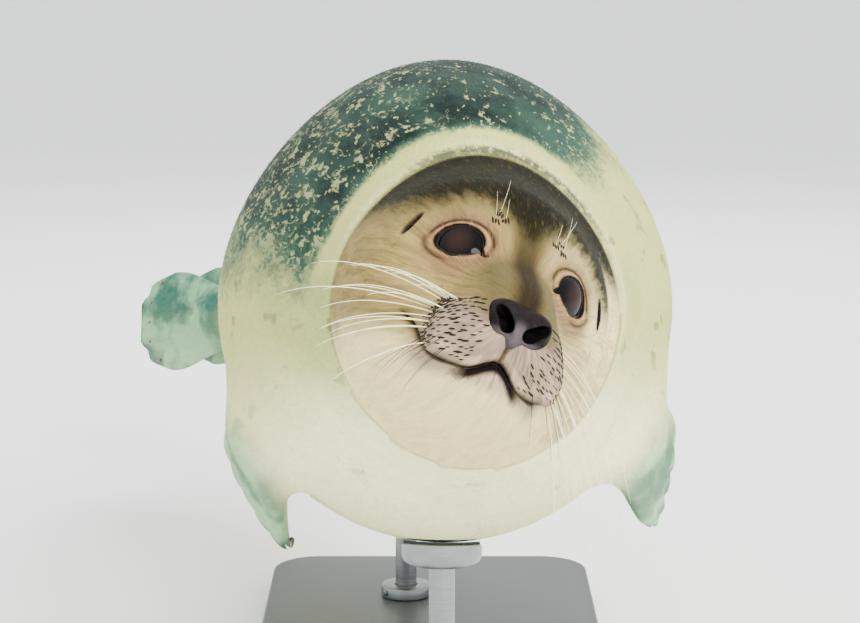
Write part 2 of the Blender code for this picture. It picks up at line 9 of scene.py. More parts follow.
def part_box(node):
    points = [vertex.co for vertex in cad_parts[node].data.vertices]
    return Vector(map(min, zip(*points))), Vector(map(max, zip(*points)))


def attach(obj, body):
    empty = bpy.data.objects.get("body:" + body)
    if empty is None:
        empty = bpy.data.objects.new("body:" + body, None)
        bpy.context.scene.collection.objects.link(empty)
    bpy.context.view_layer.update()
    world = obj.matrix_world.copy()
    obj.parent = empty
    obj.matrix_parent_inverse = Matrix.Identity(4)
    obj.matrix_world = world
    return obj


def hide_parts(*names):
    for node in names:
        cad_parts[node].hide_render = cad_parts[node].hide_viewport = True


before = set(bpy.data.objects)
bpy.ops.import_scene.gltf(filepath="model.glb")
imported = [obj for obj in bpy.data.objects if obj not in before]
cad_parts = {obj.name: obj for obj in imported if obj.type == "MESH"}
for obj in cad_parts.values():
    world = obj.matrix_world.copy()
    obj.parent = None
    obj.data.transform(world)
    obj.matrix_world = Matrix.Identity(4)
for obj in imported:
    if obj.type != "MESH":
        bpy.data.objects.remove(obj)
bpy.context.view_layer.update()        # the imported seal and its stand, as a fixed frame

bpy.ops.object.select_all(action="DESELECT")
print("frame loaded:", len(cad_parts), "nodes")

# the pose: the whole seal is tipped nose up, and its head is rolled, lifted and turned on the neck
pose = {"noseUp": 10.0, "lift": 0.475, "shift": -0.600, "headRoll": 24.5, "headPitch": 9.0, "headYaw": 12.0}

# the spine: place, half width, height above it, depth below it
spine = {
    "skull": ((0.038, 0.070, -0.006), 0.070, 0.074, 0.080),
    "nape": ((0.031, 0.150, -0.002), 0.108, 0.119, 0.117),
    "shoulder": ((0.020, 0.260, 0.003), 0.155, 0.172, 0.164),
    "chest": ((0.014, 0.390, 0.007), 0.189, 0.203, 0.198),
    "rib": ((0.010, 0.530, 0.006), 0.193, 0.205, 0.209),
    "belly": ((0.002, 0.710, 0.003), 0.179, 0.185, 0.197),
    "loin": ((-0.024, 0.890, 0.000), 0.148, 0.150, 0.161),
    "hip": ((-0.072, 1.060, -0.003), 0.109, 0.108, 0.116),
    "rump": ((-0.136, 1.205, -0.006), 0.073, 0.071, 0.078),
    "ankle": ((-0.206, 1.325, -0.008), 0.046, 0.044, 0.048),
}
trunk = {"backNarrowing": 0.13, "endReach": 0.035, "tailPlace": (-0.252, 1.392, -0.006),
         "tailRadii": (0.027, 0.062, 0.014), "tailHeading": 34.0, "neckBlend": 0.045}

eyes = {"spacing": 0.090, "radius": 0.0205, "outward": 40.0, "upward": 12.0,
        "openWide": 0.0164, "openUp": 0.0126, "openDown": 0.0102, "lid": 0.0014,
        "hollow": (0.029, 0.019, 0.024), "hollowReach": 0.0375}

coatDepth = {"body": 0.0014, "face": 0.0004}   # how deep the skin lies under the coat's outer surface


def turned(axis, degrees):
    return np.array(Matrix.Rotation(math.radians(degrees), 3, axis))


def unit(vector):
    return vector / np.maximum(np.linalg.norm(vector, axis=-1, keepdims=True), 1e-9)


def ramp(value, low, high):
    share = np.clip((value - low) / (high - low), 0.0, 1.0)
    return share * share * (3 - 2 * share)


def bell(value, width):
    return np.exp(-np.square(value / width))


headTurn = turned("Y", pose["headRoll"]) @ turned("X", -pose["headPitch"]) @ turned("Z", pose["headYaw"])
worldTurn = turned("X", -pose["noseUp"])
worldShift = np.array([0.0, pose["shift"], pose["lift"]])


def toWorld(points):
    return np.asarray(points) @ worldTurn.T + worldShift


def fromWorld(points):
    return (np.asarray(points) - worldShift) @ worldTurn


def eyeDirection(side):
    out, up = math.radians(eyes["outward"]), math.radians(eyes["upward"])
    return np.array([side * math.sin(out) * math.cos(up), -math.cos(out) * math.cos(up), math.sin(up)])


def eyeCentre(side):
    return np.array([side * eyes["spacing"] / 2, 0.0, 0.0]) - eyes["radius"] * eyeDirection(side)


def eyeTurn(side):   # columns: across the lids, outwards, and up
    outwards = eyeDirection(side)
    across = unit(np.cross(outwards, [0, 0, 1]))
    return np.stack([across, outwards, np.cross(across, outwards)], axis=1)


def nodeMiddle(node):
    low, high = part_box(node)
    return (np.array(low) + np.array(high)) / 2


# the head's own frame hangs between the two eyeballs that the frame holds
eyeMiddle = fromWorld((nodeMiddle("eye_left") + nodeMiddle("eye_right")) / 2)
headPlace = eyeMiddle - headTurn @ ((eyeCentre(1) + eyeCentre(-1)) / 2)


def fromWorldWay(way):
    # a direction, rather than a place, in the swimming frame
    return fromWorld(np.array([way], dtype=float))[0] - fromWorld(np.zeros((1, 3)))[0]


def toHead(points):
    return (points - headPlace) @ headTurn


def fromHead(points):
    return np.asarray(points) @ headTurn.T + headPlace


def blendUnion(first, second, blend):
    share = np.clip(0.5 + 0.5 * (second - first) / blend, 0.0, 1.0)
    return second * (1 - share) + first * share - blend * share * (1 - share)


def carve(body, hole, blend):
    return -blendUnion(-body, hole, blend)


def ellipsoid(points, centre, radii, turn=None):
    own = points - np.array(centre)
    if turn is not None:
        own = own @ turn
    near = np.linalg.norm(own / radii, axis=1)
    slope = np.linalg.norm(own / np.square(radii), axis=1)
    return near * (near - 1) / np.maximum(slope, 1e-9)


def pair(points, centre, radii, toeOut=0.0, blend=0.004):
    x, y, z = centre
    left = ellipsoid(points, (x, y, z), radii, turned("Z", toeOut))
    right = ellipsoid(points, (-x, y, z), radii, turned("Z", -toeOut))
    return blendUnion(left, right, blend)


# how the lips run: down from the middle, along under the whisker pads, up again to the corner
lips = {"middle": -0.0720, "droop": 0.0115, "lift": 0.0250, "deep": 0.0032, "wide": 0.0013}


def lipLine(own):
    # how far above the line of the lips a point lies, and 1 along its length
    x, y, z = own.T
    sag = lips["droop"] * ramp(np.abs(x), 0.0, 0.020)
    return z - lips["middle"] + sag - lips["lift"] * ramp(y, -0.044, 0.010), 1 - ramp(y, -0.003, 0.003)


def lidShape(own, side):
    # across the lids, up, outwards, and 1 on the rim of the opening
    turn = eyeTurn(side)
    a, out, b = ((own - eyeCentre(side)) @ turn).T
    a = side * a                                      # towards the nose
    b = b - 0.10 * a
    high = np.where(b > 0, eyes["openUp"], eyes["openDown"])
    ring = np.hypot(a / eyes["openWide"], b / high)
    inner = np.hypot((a - 0.0175) / 0.0065, (b + 0.0030 + 0.35 * (a - 0.0175)) / 0.0022)
    return a, b, out, ring, inner


def headField(points, fine=True):
    own = toHead(points)
    x, y, z = own.T
    skull = ellipsoid(own, (0, 0.088, -0.020), (0.090, 0.098, 0.086))
    skull = blendUnion(skull, pair(own, (0.036, 0.048, -0.048), (0.042, 0.058, 0.046), -10), 0.030)
    skull = blendUnion(skull, pair(own, (0.024, 0.032, 0.004), (0.022, 0.030, 0.013)), 0.030)
    bridge = ellipsoid(own, (0, -0.022, -0.037), (0.033, 0.051, 0.032), turned("X", 8))
    skull = blendUnion(skull, bridge, 0.030)
    for side in (1, -1):
        reach = eyeCentre(side) + eyes["hollowReach"] * eyeDirection(side)
        skull = carve(skull, ellipsoid(own, reach, eyes["hollow"], eyeTurn(side)), 0.016)
    lids = pair(own, eyeCentre(1), (eyes["radius"] + eyes["lid"],) * 3)
    skull = blendUnion(skull, lids, 0.007)
    pads = pair(own, (0.0182, -0.037, -0.0585), (0.0225, 0.035, 0.0228), 10, 0.008)
    upper = blendUnion(skull, pads, 0.018)
    for side in (1, -1):
        turn = turned("Z", side * 24) @ turned("X", 26)
        lip = ellipsoid(own, (side * 0.0300, -0.0290, -0.0635), (0.0125, 0.0310, 0.0150), turn)
        upper = blendUnion(upper, lip, 0.018)
    chin = ellipsoid(own, (0, -0.032, -0.082), (0.027, 0.033, 0.0165), turned("X", 10))
    throat = ellipsoid(own, (0, 0.030, -0.078), (0.060, 0.075, 0.043))
    jaw = blendUnion(chin, throat, 0.030)
    field = blendUnion(upper, jaw, 0.006 + 0.024 * ramp(y, -0.030, 0.012))
    if not fine:
        return field
    lip, front = lipLine(own)
    field = field + lips["deep"] * bell(lip, lips["wide"]) * front
    field = field - 0.0012 * bell(lip - 0.0042, 0.0030) * front * (1 - ramp(y, -0.030, -0.012))
    furrow = (1 - ramp(z, -0.062, -0.055)) * ramp(lip, 0.000, 0.002) * (1 - ramp(y, -0.052, -0.045))
    field = field + 0.0022 * bell(x, 0.0013) * furrow
    for side in (1, -1):
        a, b, out, ring, inner = lidShape(own, side)
        facing = ramp(out, 0.004, 0.010)
        fold = bell((ring - 1.36) * 0.013, 0.0009) * ramp(b, -0.004, 0.004)
        bag = bell((ring - 1.50) * 0.012, 0.0012) * ramp(-a, -0.004, 0.008) * ramp(-b, -0.002, 0.004)
        rim = bell((ring - 1.12) * 0.012, 0.0012)
        field = field + facing * (0.0005 * fold + 0.0005 * bag - 0.0005 * rim)
        hole = (np.minimum(ring, inner * 0.9 + 0.1) - 1) * 0.011
        hole = np.where(out > 0, hole, 0.05)
        depth = eyes["radius"] - 0.0012 - np.linalg.norm(own - eyeCentre(side), axis=1)
        field = carve(field, np.maximum(hole, depth), 0.0013)
        field = carve(field, earSlit(own, side), 0.0020)
    # a bed for the nose pad, open to the front
    bed = nosePad(np.stack([x, np.maximum(y, nose["front"]), z], axis=1))
    return carve(field, bed + 0.0014, 0.0008)


# the nose pad: a bar over two wings and a low middle, with a comma-shaped nostril in each wing
nose = {"segments": 144, "rings": 104, "core": (0.0, -0.0590, -0.0450), "front": -0.0660,
        "bar": ((0.0, -0.0650, -0.0395), (0.0208, 0.0098, 0.0058)),
        "wing": ((0.0116, -0.0660, -0.0455), (0.0106, 0.0112, 0.0116)),
        "low": ((0.0, -0.0664, -0.0530), (0.0054, 0.0084, 0.0086)),
        "hole": ((0.0088, -0.0768, -0.0497), (0.0049, 0.0135, 0.0046)),
        "tail": ((0.0121, -0.0765, -0.0455), (0.0042, 0.0138, 0.0095)), "lean": 48.0, "tip": -22.0}


def nosePad(own):
    bar = ellipsoid(own, *nose["bar"], turned("X", nose["tip"]))
    pad = blendUnion(blendUnion(bar, pair(own, *nose["wing"]), 0.006), ellipsoid(own, *nose["low"]), 0.006)
    return pad + 0.0007 * bell(own[:, 0], 0.0009) * (1 - ramp(own[:, 2], -0.050, -0.044))


def noseField(own):
    pad = nosePad(own)
    for side in (1, -1):
        mirror = np.array([side, 1, 1])
        place, radii = nose["hole"]
        hole = ellipsoid(own, place * mirror, radii)
        place, radii = nose["tail"]
        tail = ellipsoid(own, place * mirror, radii, turned("Y", side * nose["lean"]))
        pad = carve(pad, blendUnion(hole, tail, 0.003), 0.0012)
    return pad


# each ear is a bare slit: out of the head, across the slit, and along it
ears = {"place": (0.0730, 0.0330, 0.0035), "out": (0.84, -0.42, 0.30), "along": (-0.32, 0.10, 0.94),
        "half": (0.0060, 0.0028, 0.0104)}


def earSlit(own, side):
    mirror = np.array([side, 1, 1])
    out = unit(np.array(ears["out"]) * mirror)
    across = unit(np.cross(np.array(ears["along"]) * mirror, out))
    turn = np.stack([out, across, np.cross(out, across)], axis=1)
    return ellipsoid(own, np.array(ears["place"]) * mirror, ears["half"], turn)


# the trunk is swept along a smooth curve through the spine's stations
def spineTable(samples=400):
    rows = np.array([[*place, *radii] for place, *radii in spine.values()])
    steps = np.linalg.norm(np.diff(rows[:, :3], axis=0), axis=1)
    along = np.concatenate([[0], np.cumsum(steps)])
    slopes = np.gradient(rows, along, axis=0)
    at = np.linspace(0, along[-1], samples)
    i = np.clip(np.searchsorted(along, at) - 1, 0, len(rows) - 2)
    width = (along[i + 1] - along[i])[:, None]
    t = ((at - along[i])[:, None]) / width
    curve = ((2 * t**3 - 3 * t**2 + 1) * rows[i] + (t**3 - 2 * t**2 + t) * width * slopes[i]
             + (3 * t**2 - 2 * t**3) * rows[i + 1] + (t**3 - t**2) * width * slopes[i + 1])
    return at, curve


spineAt, spineRows = spineTable()
spineLength = spineAt[-1]
spineTangents = unit(np.gradient(spineRows[:, :3], spineAt, axis=0))


def readSpine(table, at):
    return np.stack([np.interp(at, spineAt, column) for column in table.T], axis=1)


def alongSpine(points):
    at = np.interp(points[:, 1], spineRows[:, 1], spineAt)
    for _ in range(4):
        place = readSpine(spineRows[:, :3], at)
        wanted = at + ((points - place) * readSpine(spineTangents, at)).sum(axis=1)
        at = np.clip(wanted, 0, spineLength)
    return at, wanted - at


def straighten(points):
    # the point as if the spine were straight: to the left, along, and up
    at, beyond = alongSpine(points)
    tangent = readSpine(spineTangents, at)
    offset = points - readSpine(spineRows[:, :3], at) - beyond[:, None] * tangent
    side = unit(np.stack([tangent[:, 1], -tangent[:, 0], np.zeros(len(at))], axis=1))
    up = (offset * np.cross(side, tangent)).sum(axis=1)
    return (offset * side).sum(axis=1), at, beyond, up


def trunkField(points):
    across, at, beyond, up = straighten(points)
    rows = readSpine(spineRows, at)
    height = np.where(up > 0, rows[:, 4], rows[:, 5])
    width = rows[:, 3] * (1 - trunk["backNarrowing"] * np.clip(up / height, 0, 1)**1.6)
    reach = np.hypot(np.hypot(across / width, up / height), beyond / trunk["endReach"])
    return (reach - 1) * (rows[:, 3] + height) / 2


# how far back a point is from the ring where the head joins the neck
neck = {"ring": 0.150, "tip": 0.10,
        "folds": ((0.0013, 0.0, 0.0045), (-0.0005, 0.011, 0.008), (0.0008, 0.040, 0.012))}


def ringGap(own):
    return own[:, 1] + neck["tip"] * own[:, 2] - neck["ring"]


def behindRing(points):
    return ringGap(toHead(points))


def neckFolds(points):
    # the ring is a shallow crease with a soft roll behind it
    back = behindRing(points)
    return sum(deep * bell(back - place, wide) for deep, place, wide in neck["folds"])


def flipperRoots(points, field):
    # the flank swells softly into the root of each flipper
    for flipper in flippers.values():
        start, wrist = (np.array(place) for place in flipper["line"][:2])
        near = np.linalg.norm(points - start, axis=1) < 0.17
        if near.any():
            ahead = unit(wrist - start)
            leading = np.array(flipper["leading"])
            leading = unit(leading - (leading @ ahead) * ahead)
            turn = np.stack([leading, np.cross(leading, ahead), ahead], axis=1)
            size, swell = flipper["sizes"], flipper["sizes"]["swell"]
            radii = (size["widths"][0], size["depths"][0], swell["long"])
            mound = ellipsoid(points[near], start + swell["at"] * (wrist - start), radii, turn)
            field[near] = blendUnion(field[near], mound, swell["blend"])
    return field


def sealField(points, fine=True):
    field = blendUnion(trunkField(points), ellipsoid(
        points, trunk["tailPlace"], trunk["tailRadii"], turned("Z", trunk["tailHeading"])), 0.025)
    field = flipperRoots(points, field)
    near = points[:, 1] < 0.40
    if near.any():
        field[near] = blendUnion(field[near], headField(points[near], fine), trunk["neckBlend"])
    if fine:
        field = field + neckFolds(points) + skinDepth(points)
    return field


def plainField(points):
    return sealField(points, False)


def skinDepth(points):
    own = points - headPlace
    far = np.linalg.norm(own, axis=1)
    return coatDepth["face"] + (coatDepth["body"] - coatDepth["face"]) * ramp(far, 0.10, 0.22)


# rings of points grow from a line that runs from the muzzle through the skull to the tail
def coreStations():
    level = np.eye(3)
    muzzle = fromHead([0, -0.032, -0.071])
    skull = fromHead([0, 0.075, -0.030])
    stations = [(muzzle, headTurn, 90.0), (muzzle, headTurn, 12.0), (skull, headTurn, 4.0)]
    for at in np.linspace(0.14, spineLength - 0.01, 14):
        place = readSpine(spineRows[:, :3], np.array([at]))[0]
        tangent = readSpine(spineTangents, np.array([at]))[0]
        heading = math.degrees(math.atan2(-tangent[0], tangent[1]))
        stations.append((place, turned("Z", heading) if at > 0.3 else level, 0.0))
    tail, heading = np.array(trunk["tailPlace"]), turned("Z", trunk["tailHeading"])
    return stations + [(tail, heading, 0.0), (tail, heading, -90.0)]


def coreAt(stations, t):
    i = min(int(t), len(stations) - 2)
    share = t - i
    (placeA, turnA, leanA), (placeB, turnB, leanB) = stations[i], stations[i + 1]
    first = Matrix(turnA.tolist()).to_quaternion()
    turn = np.array(first.slerp(Matrix(turnB.tolist()).to_quaternion(), share).to_matrix())
    return (1 - share) * placeA + share * placeB, turn, (1 - share) * leanA + share * leanB


def ringDirections(turn, lean, segments):
    angles = np.arange(segments) * 2 * math.pi / segments
    flat, forward = math.cos(math.radians(lean)), -math.sin(math.radians(lean))
    own = np.stack([flat * np.cos(angles), np.full(segments, forward), flat * np.sin(angles)], axis=1)
    return own @ turn.T


def castOut(starts, directions, field, far, steps):
    # walks in from far out until it meets the surface; one start and one far may serve all directions
    reach = np.full(len(directions), far, dtype=float)
    for _ in range(steps):
        reach = np.clip(reach - 0.8 * field(starts + directions * reach[:, None]), 0.0, far)
    return reach


outerReach = 0.30
skin = {"segments": 144, "headStep": 0.0024, "bodyStep": 0.0140}


def ringRays(segments, headStep, bodyStep):
    # where each ring starts and points, closely set on the head and wider along the body
    stations = coreStations()
    probeT = np.linspace(0, len(stations) - 1, 40 * (len(stations) - 1) + 1)
    probe = [coreAt(stations, t) for t in probeT]
    starts = np.repeat([p[0] for p in probe], 8, axis=0)
    directions = np.concatenate([ringDirections(p[1], p[2], 8) for p in probe])
    reach = castOut(starts, directions, plainField, outerReach, 30)
    hits = (starts + directions * reach[:, None]).reshape(-1, 8, 3)
    gaps = np.linalg.norm(np.diff(hits, axis=0), axis=2).mean(axis=1)
    along = np.concatenate([[0], np.cumsum(gaps)])
    size = headStep + (bodyStep - headStep) * ramp(along, 0.17, 0.34)
    size = np.minimum(size, 0.003 + 0.20 * (along[-1] - along))
    counts = np.concatenate([[0], np.cumsum(np.diff(along) / size[1:])])
    rings = int(round(counts[-1]))
    marks = np.linspace(0, counts[-1], rings + 1)
    chosen, lengths = np.interp(marks, counts, probeT), np.interp(marks, counts, along)
    return [coreAt(stations, t) for t in chosen], lengths


def primitiveSphere(name, segments, rings):
    # a ball whose points are known by ring, from its top, and by segment
    bpy.ops.mesh.primitive_uv_sphere_add(segments=segments, ring_count=rings + 1, radius=1.0)
    ball = bpy.context.object
    ball.name = ball.data.name = name
    place = getPlaces(ball)
    ring = np.rint(np.arccos(np.clip(place[:, 2], -1, 1)) / math.pi * (rings + 1)).astype(int)
    turn = np.arctan2(place[:, 1], place[:, 0]) % (2 * math.pi)
    segment = np.rint(turn / (2 * math.pi) * segments).astype(int) % segments
    return ball, ring, segment


def setPlaces(piece, places):
    piece.data.vertices.foreach_set("co", np.asarray(places, dtype=np.float32).ravel())
    piece.data.update()


def readMesh(items, key, width=3, kind=float):
    values = np.empty(len(items) * width, dtype=kind)
    items.foreach_get(key, values)
    return values.reshape(-1, width)


def getPlaces(piece):
    return readMesh(piece.data.vertices, "co")


def addAttribute(piece, name, values, kind="FLOAT_VECTOR"):
    mesh = piece.data
    layer = mesh.attributes.get(name) or mesh.attributes.new(name, kind, "POINT")
    layer.data.foreach_set({"FLOAT": "value", "FLOAT_VECTOR": "vector", "FLOAT_COLOR": "color"}[kind],
                           np.asarray(values, dtype=np.float32).ravel())


def getVector(piece, name):
    return readMesh(piece.data.attributes[name].data, "vector")


def onlyEdit(piece, mode="VERT"):
    # goes into edit mode on this piece alone, with nothing selected
    bpy.ops.object.select_all(action="DESELECT")
    piece.select_set(True)
    bpy.context.view_layer.objects.active = piece
    piece.data.vertices.foreach_set("select", np.zeros(len(piece.data.vertices), dtype=bool))
    bpy.ops.object.mode_set(mode="EDIT")
    bpy.ops.mesh.select_mode(type=mode)
    bpy.ops.mesh.select_all(action="DESELECT")


def selectPoints(piece, chosen):
    bpy.ops.object.mode_set(mode="OBJECT")
    piece.data.vertices.foreach_set("select", chosen)
    edges = readMesh(piece.data.edges, "vertices", 2, int)
    piece.data.edges.foreach_set("select", chosen[edges].all(axis=1))
    bpy.ops.object.mode_set(mode="EDIT")


def refine(piece, near):
    # cuts the faces between the chosen points in two each way
    chosen = near(toHead(fromWorld(getPlaces(piece))))
    onlyEdit(piece)
    selectPoints(piece, chosen)
    bpy.ops.mesh.subdivide(number_cuts=1)
    bpy.ops.object.mode_set(mode="OBJECT")


def fromEye(own):
    # how far a point lies from the front of the nearer eye
    return np.minimum(*[np.linalg.norm(own - eyeCentre(s) - eyes["radius"] * eyeDirection(s), axis=1)
                        for s in (1, -1)])


def nearEyes(own, reach):
    return fromEye(own) < reach


def nearLids(own):
    found = np.zeros(len(own), dtype=bool)
    for side in (1, -1):
        _, _, out, ring, inner = lidShape(own, side)
        found |= (out > 0.002) & (np.minimum(ring, inner * 0.5 + 0.5) > 0.90) & (ring < 1.12)
    return found


def nearPads(own):
    return (own[:, 1] < -0.012) & (own[:, 2] < -0.020)


def nearMouth(own):
    lip, _ = lipLine(own)
    return (np.abs(lip) < 0.0040) & (own[:, 1] < 0.004)


def nearEars(own):
    return np.minimum(*[np.linalg.norm(own - np.array(ears["place"]) * [s, 1, 1], axis=1)
                        for s in (1, -1)]) < 0.015


def nearRing(own):
    return np.abs(ringGap(own)) < 0.014


def nearRoots(own):
    points = fromHead(own)
    found = np.zeros(len(own), dtype=bool)
    for flipper in flippers.values():
        start, wrist = (np.array(place) for place in flipper["line"][:2])
        ahead = wrist - start
        share = np.clip(((points - start) @ ahead) / (ahead @ ahead), 0, 0.7)
        gap = np.linalg.norm(points - start - share[:, None] * ahead, axis=1)
        found |= gap < flipper["sizes"]["widths"][0] + 0.012
    return found


def outwards(piece, triangles=False):
    # faces the piece outwards and shades it smooth
    onlyEdit(piece)
    bpy.ops.mesh.select_all(action="SELECT")
    if triangles:
        bpy.ops.mesh.quads_convert_to_tris()
    bpy.ops.mesh.normals_make_consistent(inside=False)
    bpy.ops.object.mode_set(mode="OBJECT")
    bpy.ops.object.shade_smooth()
    return piece


def enrol(piece, slot, *nodes):
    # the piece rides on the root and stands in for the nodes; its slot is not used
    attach(piece, "root")
    if nodes:
        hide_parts(*nodes)
    return piece


def makeSkin():
    cores, lengths = ringRays(skin["segments"], skin["headStep"], skin["bodyStep"])
    rings = len(cores) - 2
    body, ring, segment = primitiveSphere("sealSkin", skin["segments"], rings)
    starts = np.array([core[0] for core in cores])[ring]
    table = np.array([ringDirections(core[1], core[2], skin["segments"]) for core in cores])
    directions = table[ring, segment]
    reach = castOut(starts, directions, plainField, outerReach, 24)
    angle = segment * 2 * math.pi / skin["segments"]
    addAttribute(body, "rayFrom", starts)
    addAttribute(body, "rayTo", starts + directions)
    addAttribute(body, "unwrap", np.stack([np.cos(angle), np.sin(angle), lengths[ring]], axis=1))
    setPlaces(body, toWorld(starts + directions * reach[:, None]))
    for near in (nearPads, lambda own: nearEyes(own, 0.032), lambda own: nearEyes(own, 0.024), nearMouth,
                 nearLids, nearEars, nearEars, nearRoots, nearRoots, nearRing):
        refine(body, near)
    starts = getVector(body, "rayFrom")
    directions = unit(getVector(body, "rayTo") - starts)
    reach = np.linalg.norm(fromWorld(getPlaces(body)) - starts, axis=1)
    reach = castOut(starts, directions, sealField, reach + 0.008, 16)
    setPlaces(body, toWorld(starts + directions * reach[:, None]))
    for name in ("rayFrom", "rayTo"):
        body.data.attributes.remove(body.data.attributes[name])
    return outwards(body, triangles=True)


# flippers: each runs from its start past the wrist to the tip, and is widest across its leading edge
digits = (-0.8, -0.4, 0.0, 0.4, 0.8)
foreSizes = {"widths": (0.042, 0.038, 0.046, 0.034), "depths": (0.030, 0.0215, 0.0165, 0.0105),
             "shortSide": 0.24, "notch": 0.0, "round": 0.14, "fillet": 0.010, "claw": 0.0125, "ridge": 0.10,
             "swell": {"at": 0.42, "long": 0.058, "blend": 0.050}}
hindSizes = {"widths": (0.030, 0.033, 0.051, 0.062), "depths": (0.024, 0.0170, 0.0105, 0.0065),
             "shortSide": 0.0, "notch": 0.02, "round": 0.18, "fillet": 0.008, "claw": 0.0095, "ridge": 0.20,
             "swell": {"at": 0.35, "long": 0.050, "blend": 0.030}}
flippers = {
    "flipper_fore_right": {
        "line": ((-0.096, 0.330, -0.056), (-0.150, 0.372, -0.124), (-0.130, 0.505, -0.193)),
        "leading": (0.52, -0.48, -0.70), "sizes": foreSizes, "outer": 1},
    "flipper_fore_left": {
        "line": ((0.118, 0.330, -0.052), (0.177, 0.372, -0.114), (0.206, 0.500, -0.166)),
        "leading": (-0.40, -0.47, -0.75), "sizes": foreSizes, "outer": -1},
    "flipper_hind_right": {
        "line": ((-0.196, 1.262, -0.010), (-0.262, 1.345, -0.008), (-0.370, 1.470, -0.015)),
        "leading": (0.0, 0.10, 0.99), "sizes": hindSizes, "outer": 1},
    "flipper_hind_left": {
        "line": ((-0.150, 1.292, -0.010), (-0.206, 1.385, -0.006), (-0.312, 1.518, -0.006)),
        "leading": (0.0, 0.06, 1.0), "sizes": hindSizes, "outer": -1},
}
flipperMesh = {"segments": 56, "rings": 44, "scallop": 0.016, "cup": 0.10, "thickness": 0.96, "middle": 0.85}


def flipperSurface(flipper, along, across, over):
    start, wrist, tip = (np.array(place) for place in flipper["line"])
    sizes = flipper["sizes"]
    fingers = np.cos(5 * math.pi * across)
    scallop = flipperMesh["scallop"] * fingers * ramp(along, 0.6, 1.0)
    reach = 1 - sizes["shortSide"] * (1 - across) / 2 - sizes["notch"] * (1 - across**2)
    reach = reach - sizes["round"] * across**4
    t = (along * (1 - ramp(along, 0.3, 1.0) * (1 - reach)) + scallop)[:, None]
    bend = wrist + (wrist - (start + tip) / 2) * 0.5
    line = (1 - t)**2 * start + 2 * t * (1 - t) * bend + t**2 * tip
    ahead = unit(2 * (1 - t) * (bend - start) + 2 * t * (tip - bend))
    leading = np.array(flipper["leading"])
    leading = unit(leading - (ahead * leading).sum(axis=1)[:, None] * ahead)
    outer = unit(np.cross(leading, ahead)) * flipper["outer"]
    width, depth = (np.polyval(np.polyfit(np.linspace(0, 1, 4), sizes[key], 3), along)
                    for key in ("widths", "depths"))
    ridge = flipperMesh["thickness"] + sizes["ridge"] * (fingers - 0.3) * ramp(along, 0.35, 0.75)
    cup = flipperMesh["cup"] * width * across**2
    points = line + leading * (width * across)[:, None]
    return points + outer * (depth * over * ridge - cup)[:, None], outer, ahead


def makeFlipper(name):
    flipper = flippers[name]
    segments, rings = flipperMesh["segments"], flipperMesh["rings"]
    piece, ring, segment = primitiveSphere(name + "Skin", segments, rings)
    inside = np.clip((ring - 1) / (rings - 1), 0, 1)
    along = 1 - (1 - inside)**1.25
    angle = (segment + 0.5) * 2 * math.pi / segments
    pole = (ring > 0) & (ring <= rings)
    across, over = np.cos(angle) * pole, np.sin(angle) * pole
    thin = np.sqrt(np.clip(1 - along**6, 0.06, 1))
    points, _, _ = flipperSurface(flipper, along, across, over * thin)
    centres, _, _ = flipperSurface(flipper, along, flipperMesh["middle"] * across, 0 * along)
    fillet = flipper["sizes"]["fillet"]
    gap = np.clip(sealField(points, False), 0, fillet)
    push = 0.6 * (fillet - np.sqrt(np.maximum(fillet**2 - (fillet - gap)**2, 0)))
    points = points + unit(points - centres) * push[:, None]
    number = list(flippers).index(name) + 1
    addAttribute(piece, "unwrap", np.stack([np.cos(angle), np.sin(angle), 10.0 * number + along], axis=1))
    setPlaces(piece, toWorld(points))
    return outwards(piece, triangles=True)


def treeOf(points):
    tree = KDTree(len(points))
    for i, point in enumerate(points):
        tree.insert(point, i)
    tree.balance()
    return tree


def nearestOf(places, points):
    tree = treeOf(places)
    return np.array([tree.find(point)[1] for point in points])


def softenJoint(piece, places, isFlipper, reach=0.013):
    # smooths the band where a flipper meets the flank
    trees = {True: treeOf(places[isFlipper]), False: treeOf(places[~isFlipper])}
    now = getPlaces(piece)
    side = isFlipper[nearestOf(places, now)]
    gap = np.array([trees[not s].find(point)[2] for point, s in zip(now, side)])
    onlyEdit(piece)
    selectPoints(piece, gap < reach)
    bpy.ops.mesh.vertices_smooth(factor=0.5, repeat=22)
    bpy.ops.mesh.select_all(action="SELECT")
    bpy.ops.mesh.quads_convert_to_tris()
    bpy.ops.object.mode_set(mode="OBJECT")


def reorder(piece):
    # a ball's faces come in no set order and the join hands that on, so all are set again by place
    places = getPlaces(piece)
    order = np.lexsort(places.T)
    rank = np.argsort(order).tolist()
    faces = []
    for polygon in piece.data.polygons:
        face = [rank[i] for i in polygon.vertices]
        start = face.index(min(face))
        faces.append(face[start:] + face[:start])
    piece.data.clear_geometry()
    piece.data.from_pydata(places[order].tolist(), [], sorted(faces), shade_flat=False)


def uniteSkin(body):
    places, unwrap = [getPlaces(body)], [getVector(body, "unwrap")]
    for name in flippers:
        piece = makeFlipper(name)
        places.append(getPlaces(piece))
        unwrap.append(getVector(piece, "unwrap"))
        bpy.ops.object.select_all(action="DESELECT")
        bpy.context.view_layer.objects.active = body
        join = body.modifiers.new("join", "BOOLEAN")
        join.operation, join.object, join.solver = "UNION", piece, "MANIFOLD"
        bpy.ops.object.modifier_apply(modifier=join.name)
        bpy.data.objects.remove(piece)
    onBody = len(places[0])
    places, unwrap = np.concatenate(places), np.concatenate(unwrap)
    reorder(body)
    softenJoint(body, places, np.arange(len(places)) >= onBody)
    addAttribute(body, "unwrap", unwrap[nearestOf(places, getPlaces(body))])


sealSkin = makeSkin()
print("skin:", len(sealSkin.data.polygons), "faces")
uniteSkin(sealSkin)
print("flippers joined:", len(sealSkin.data.polygons), "faces")


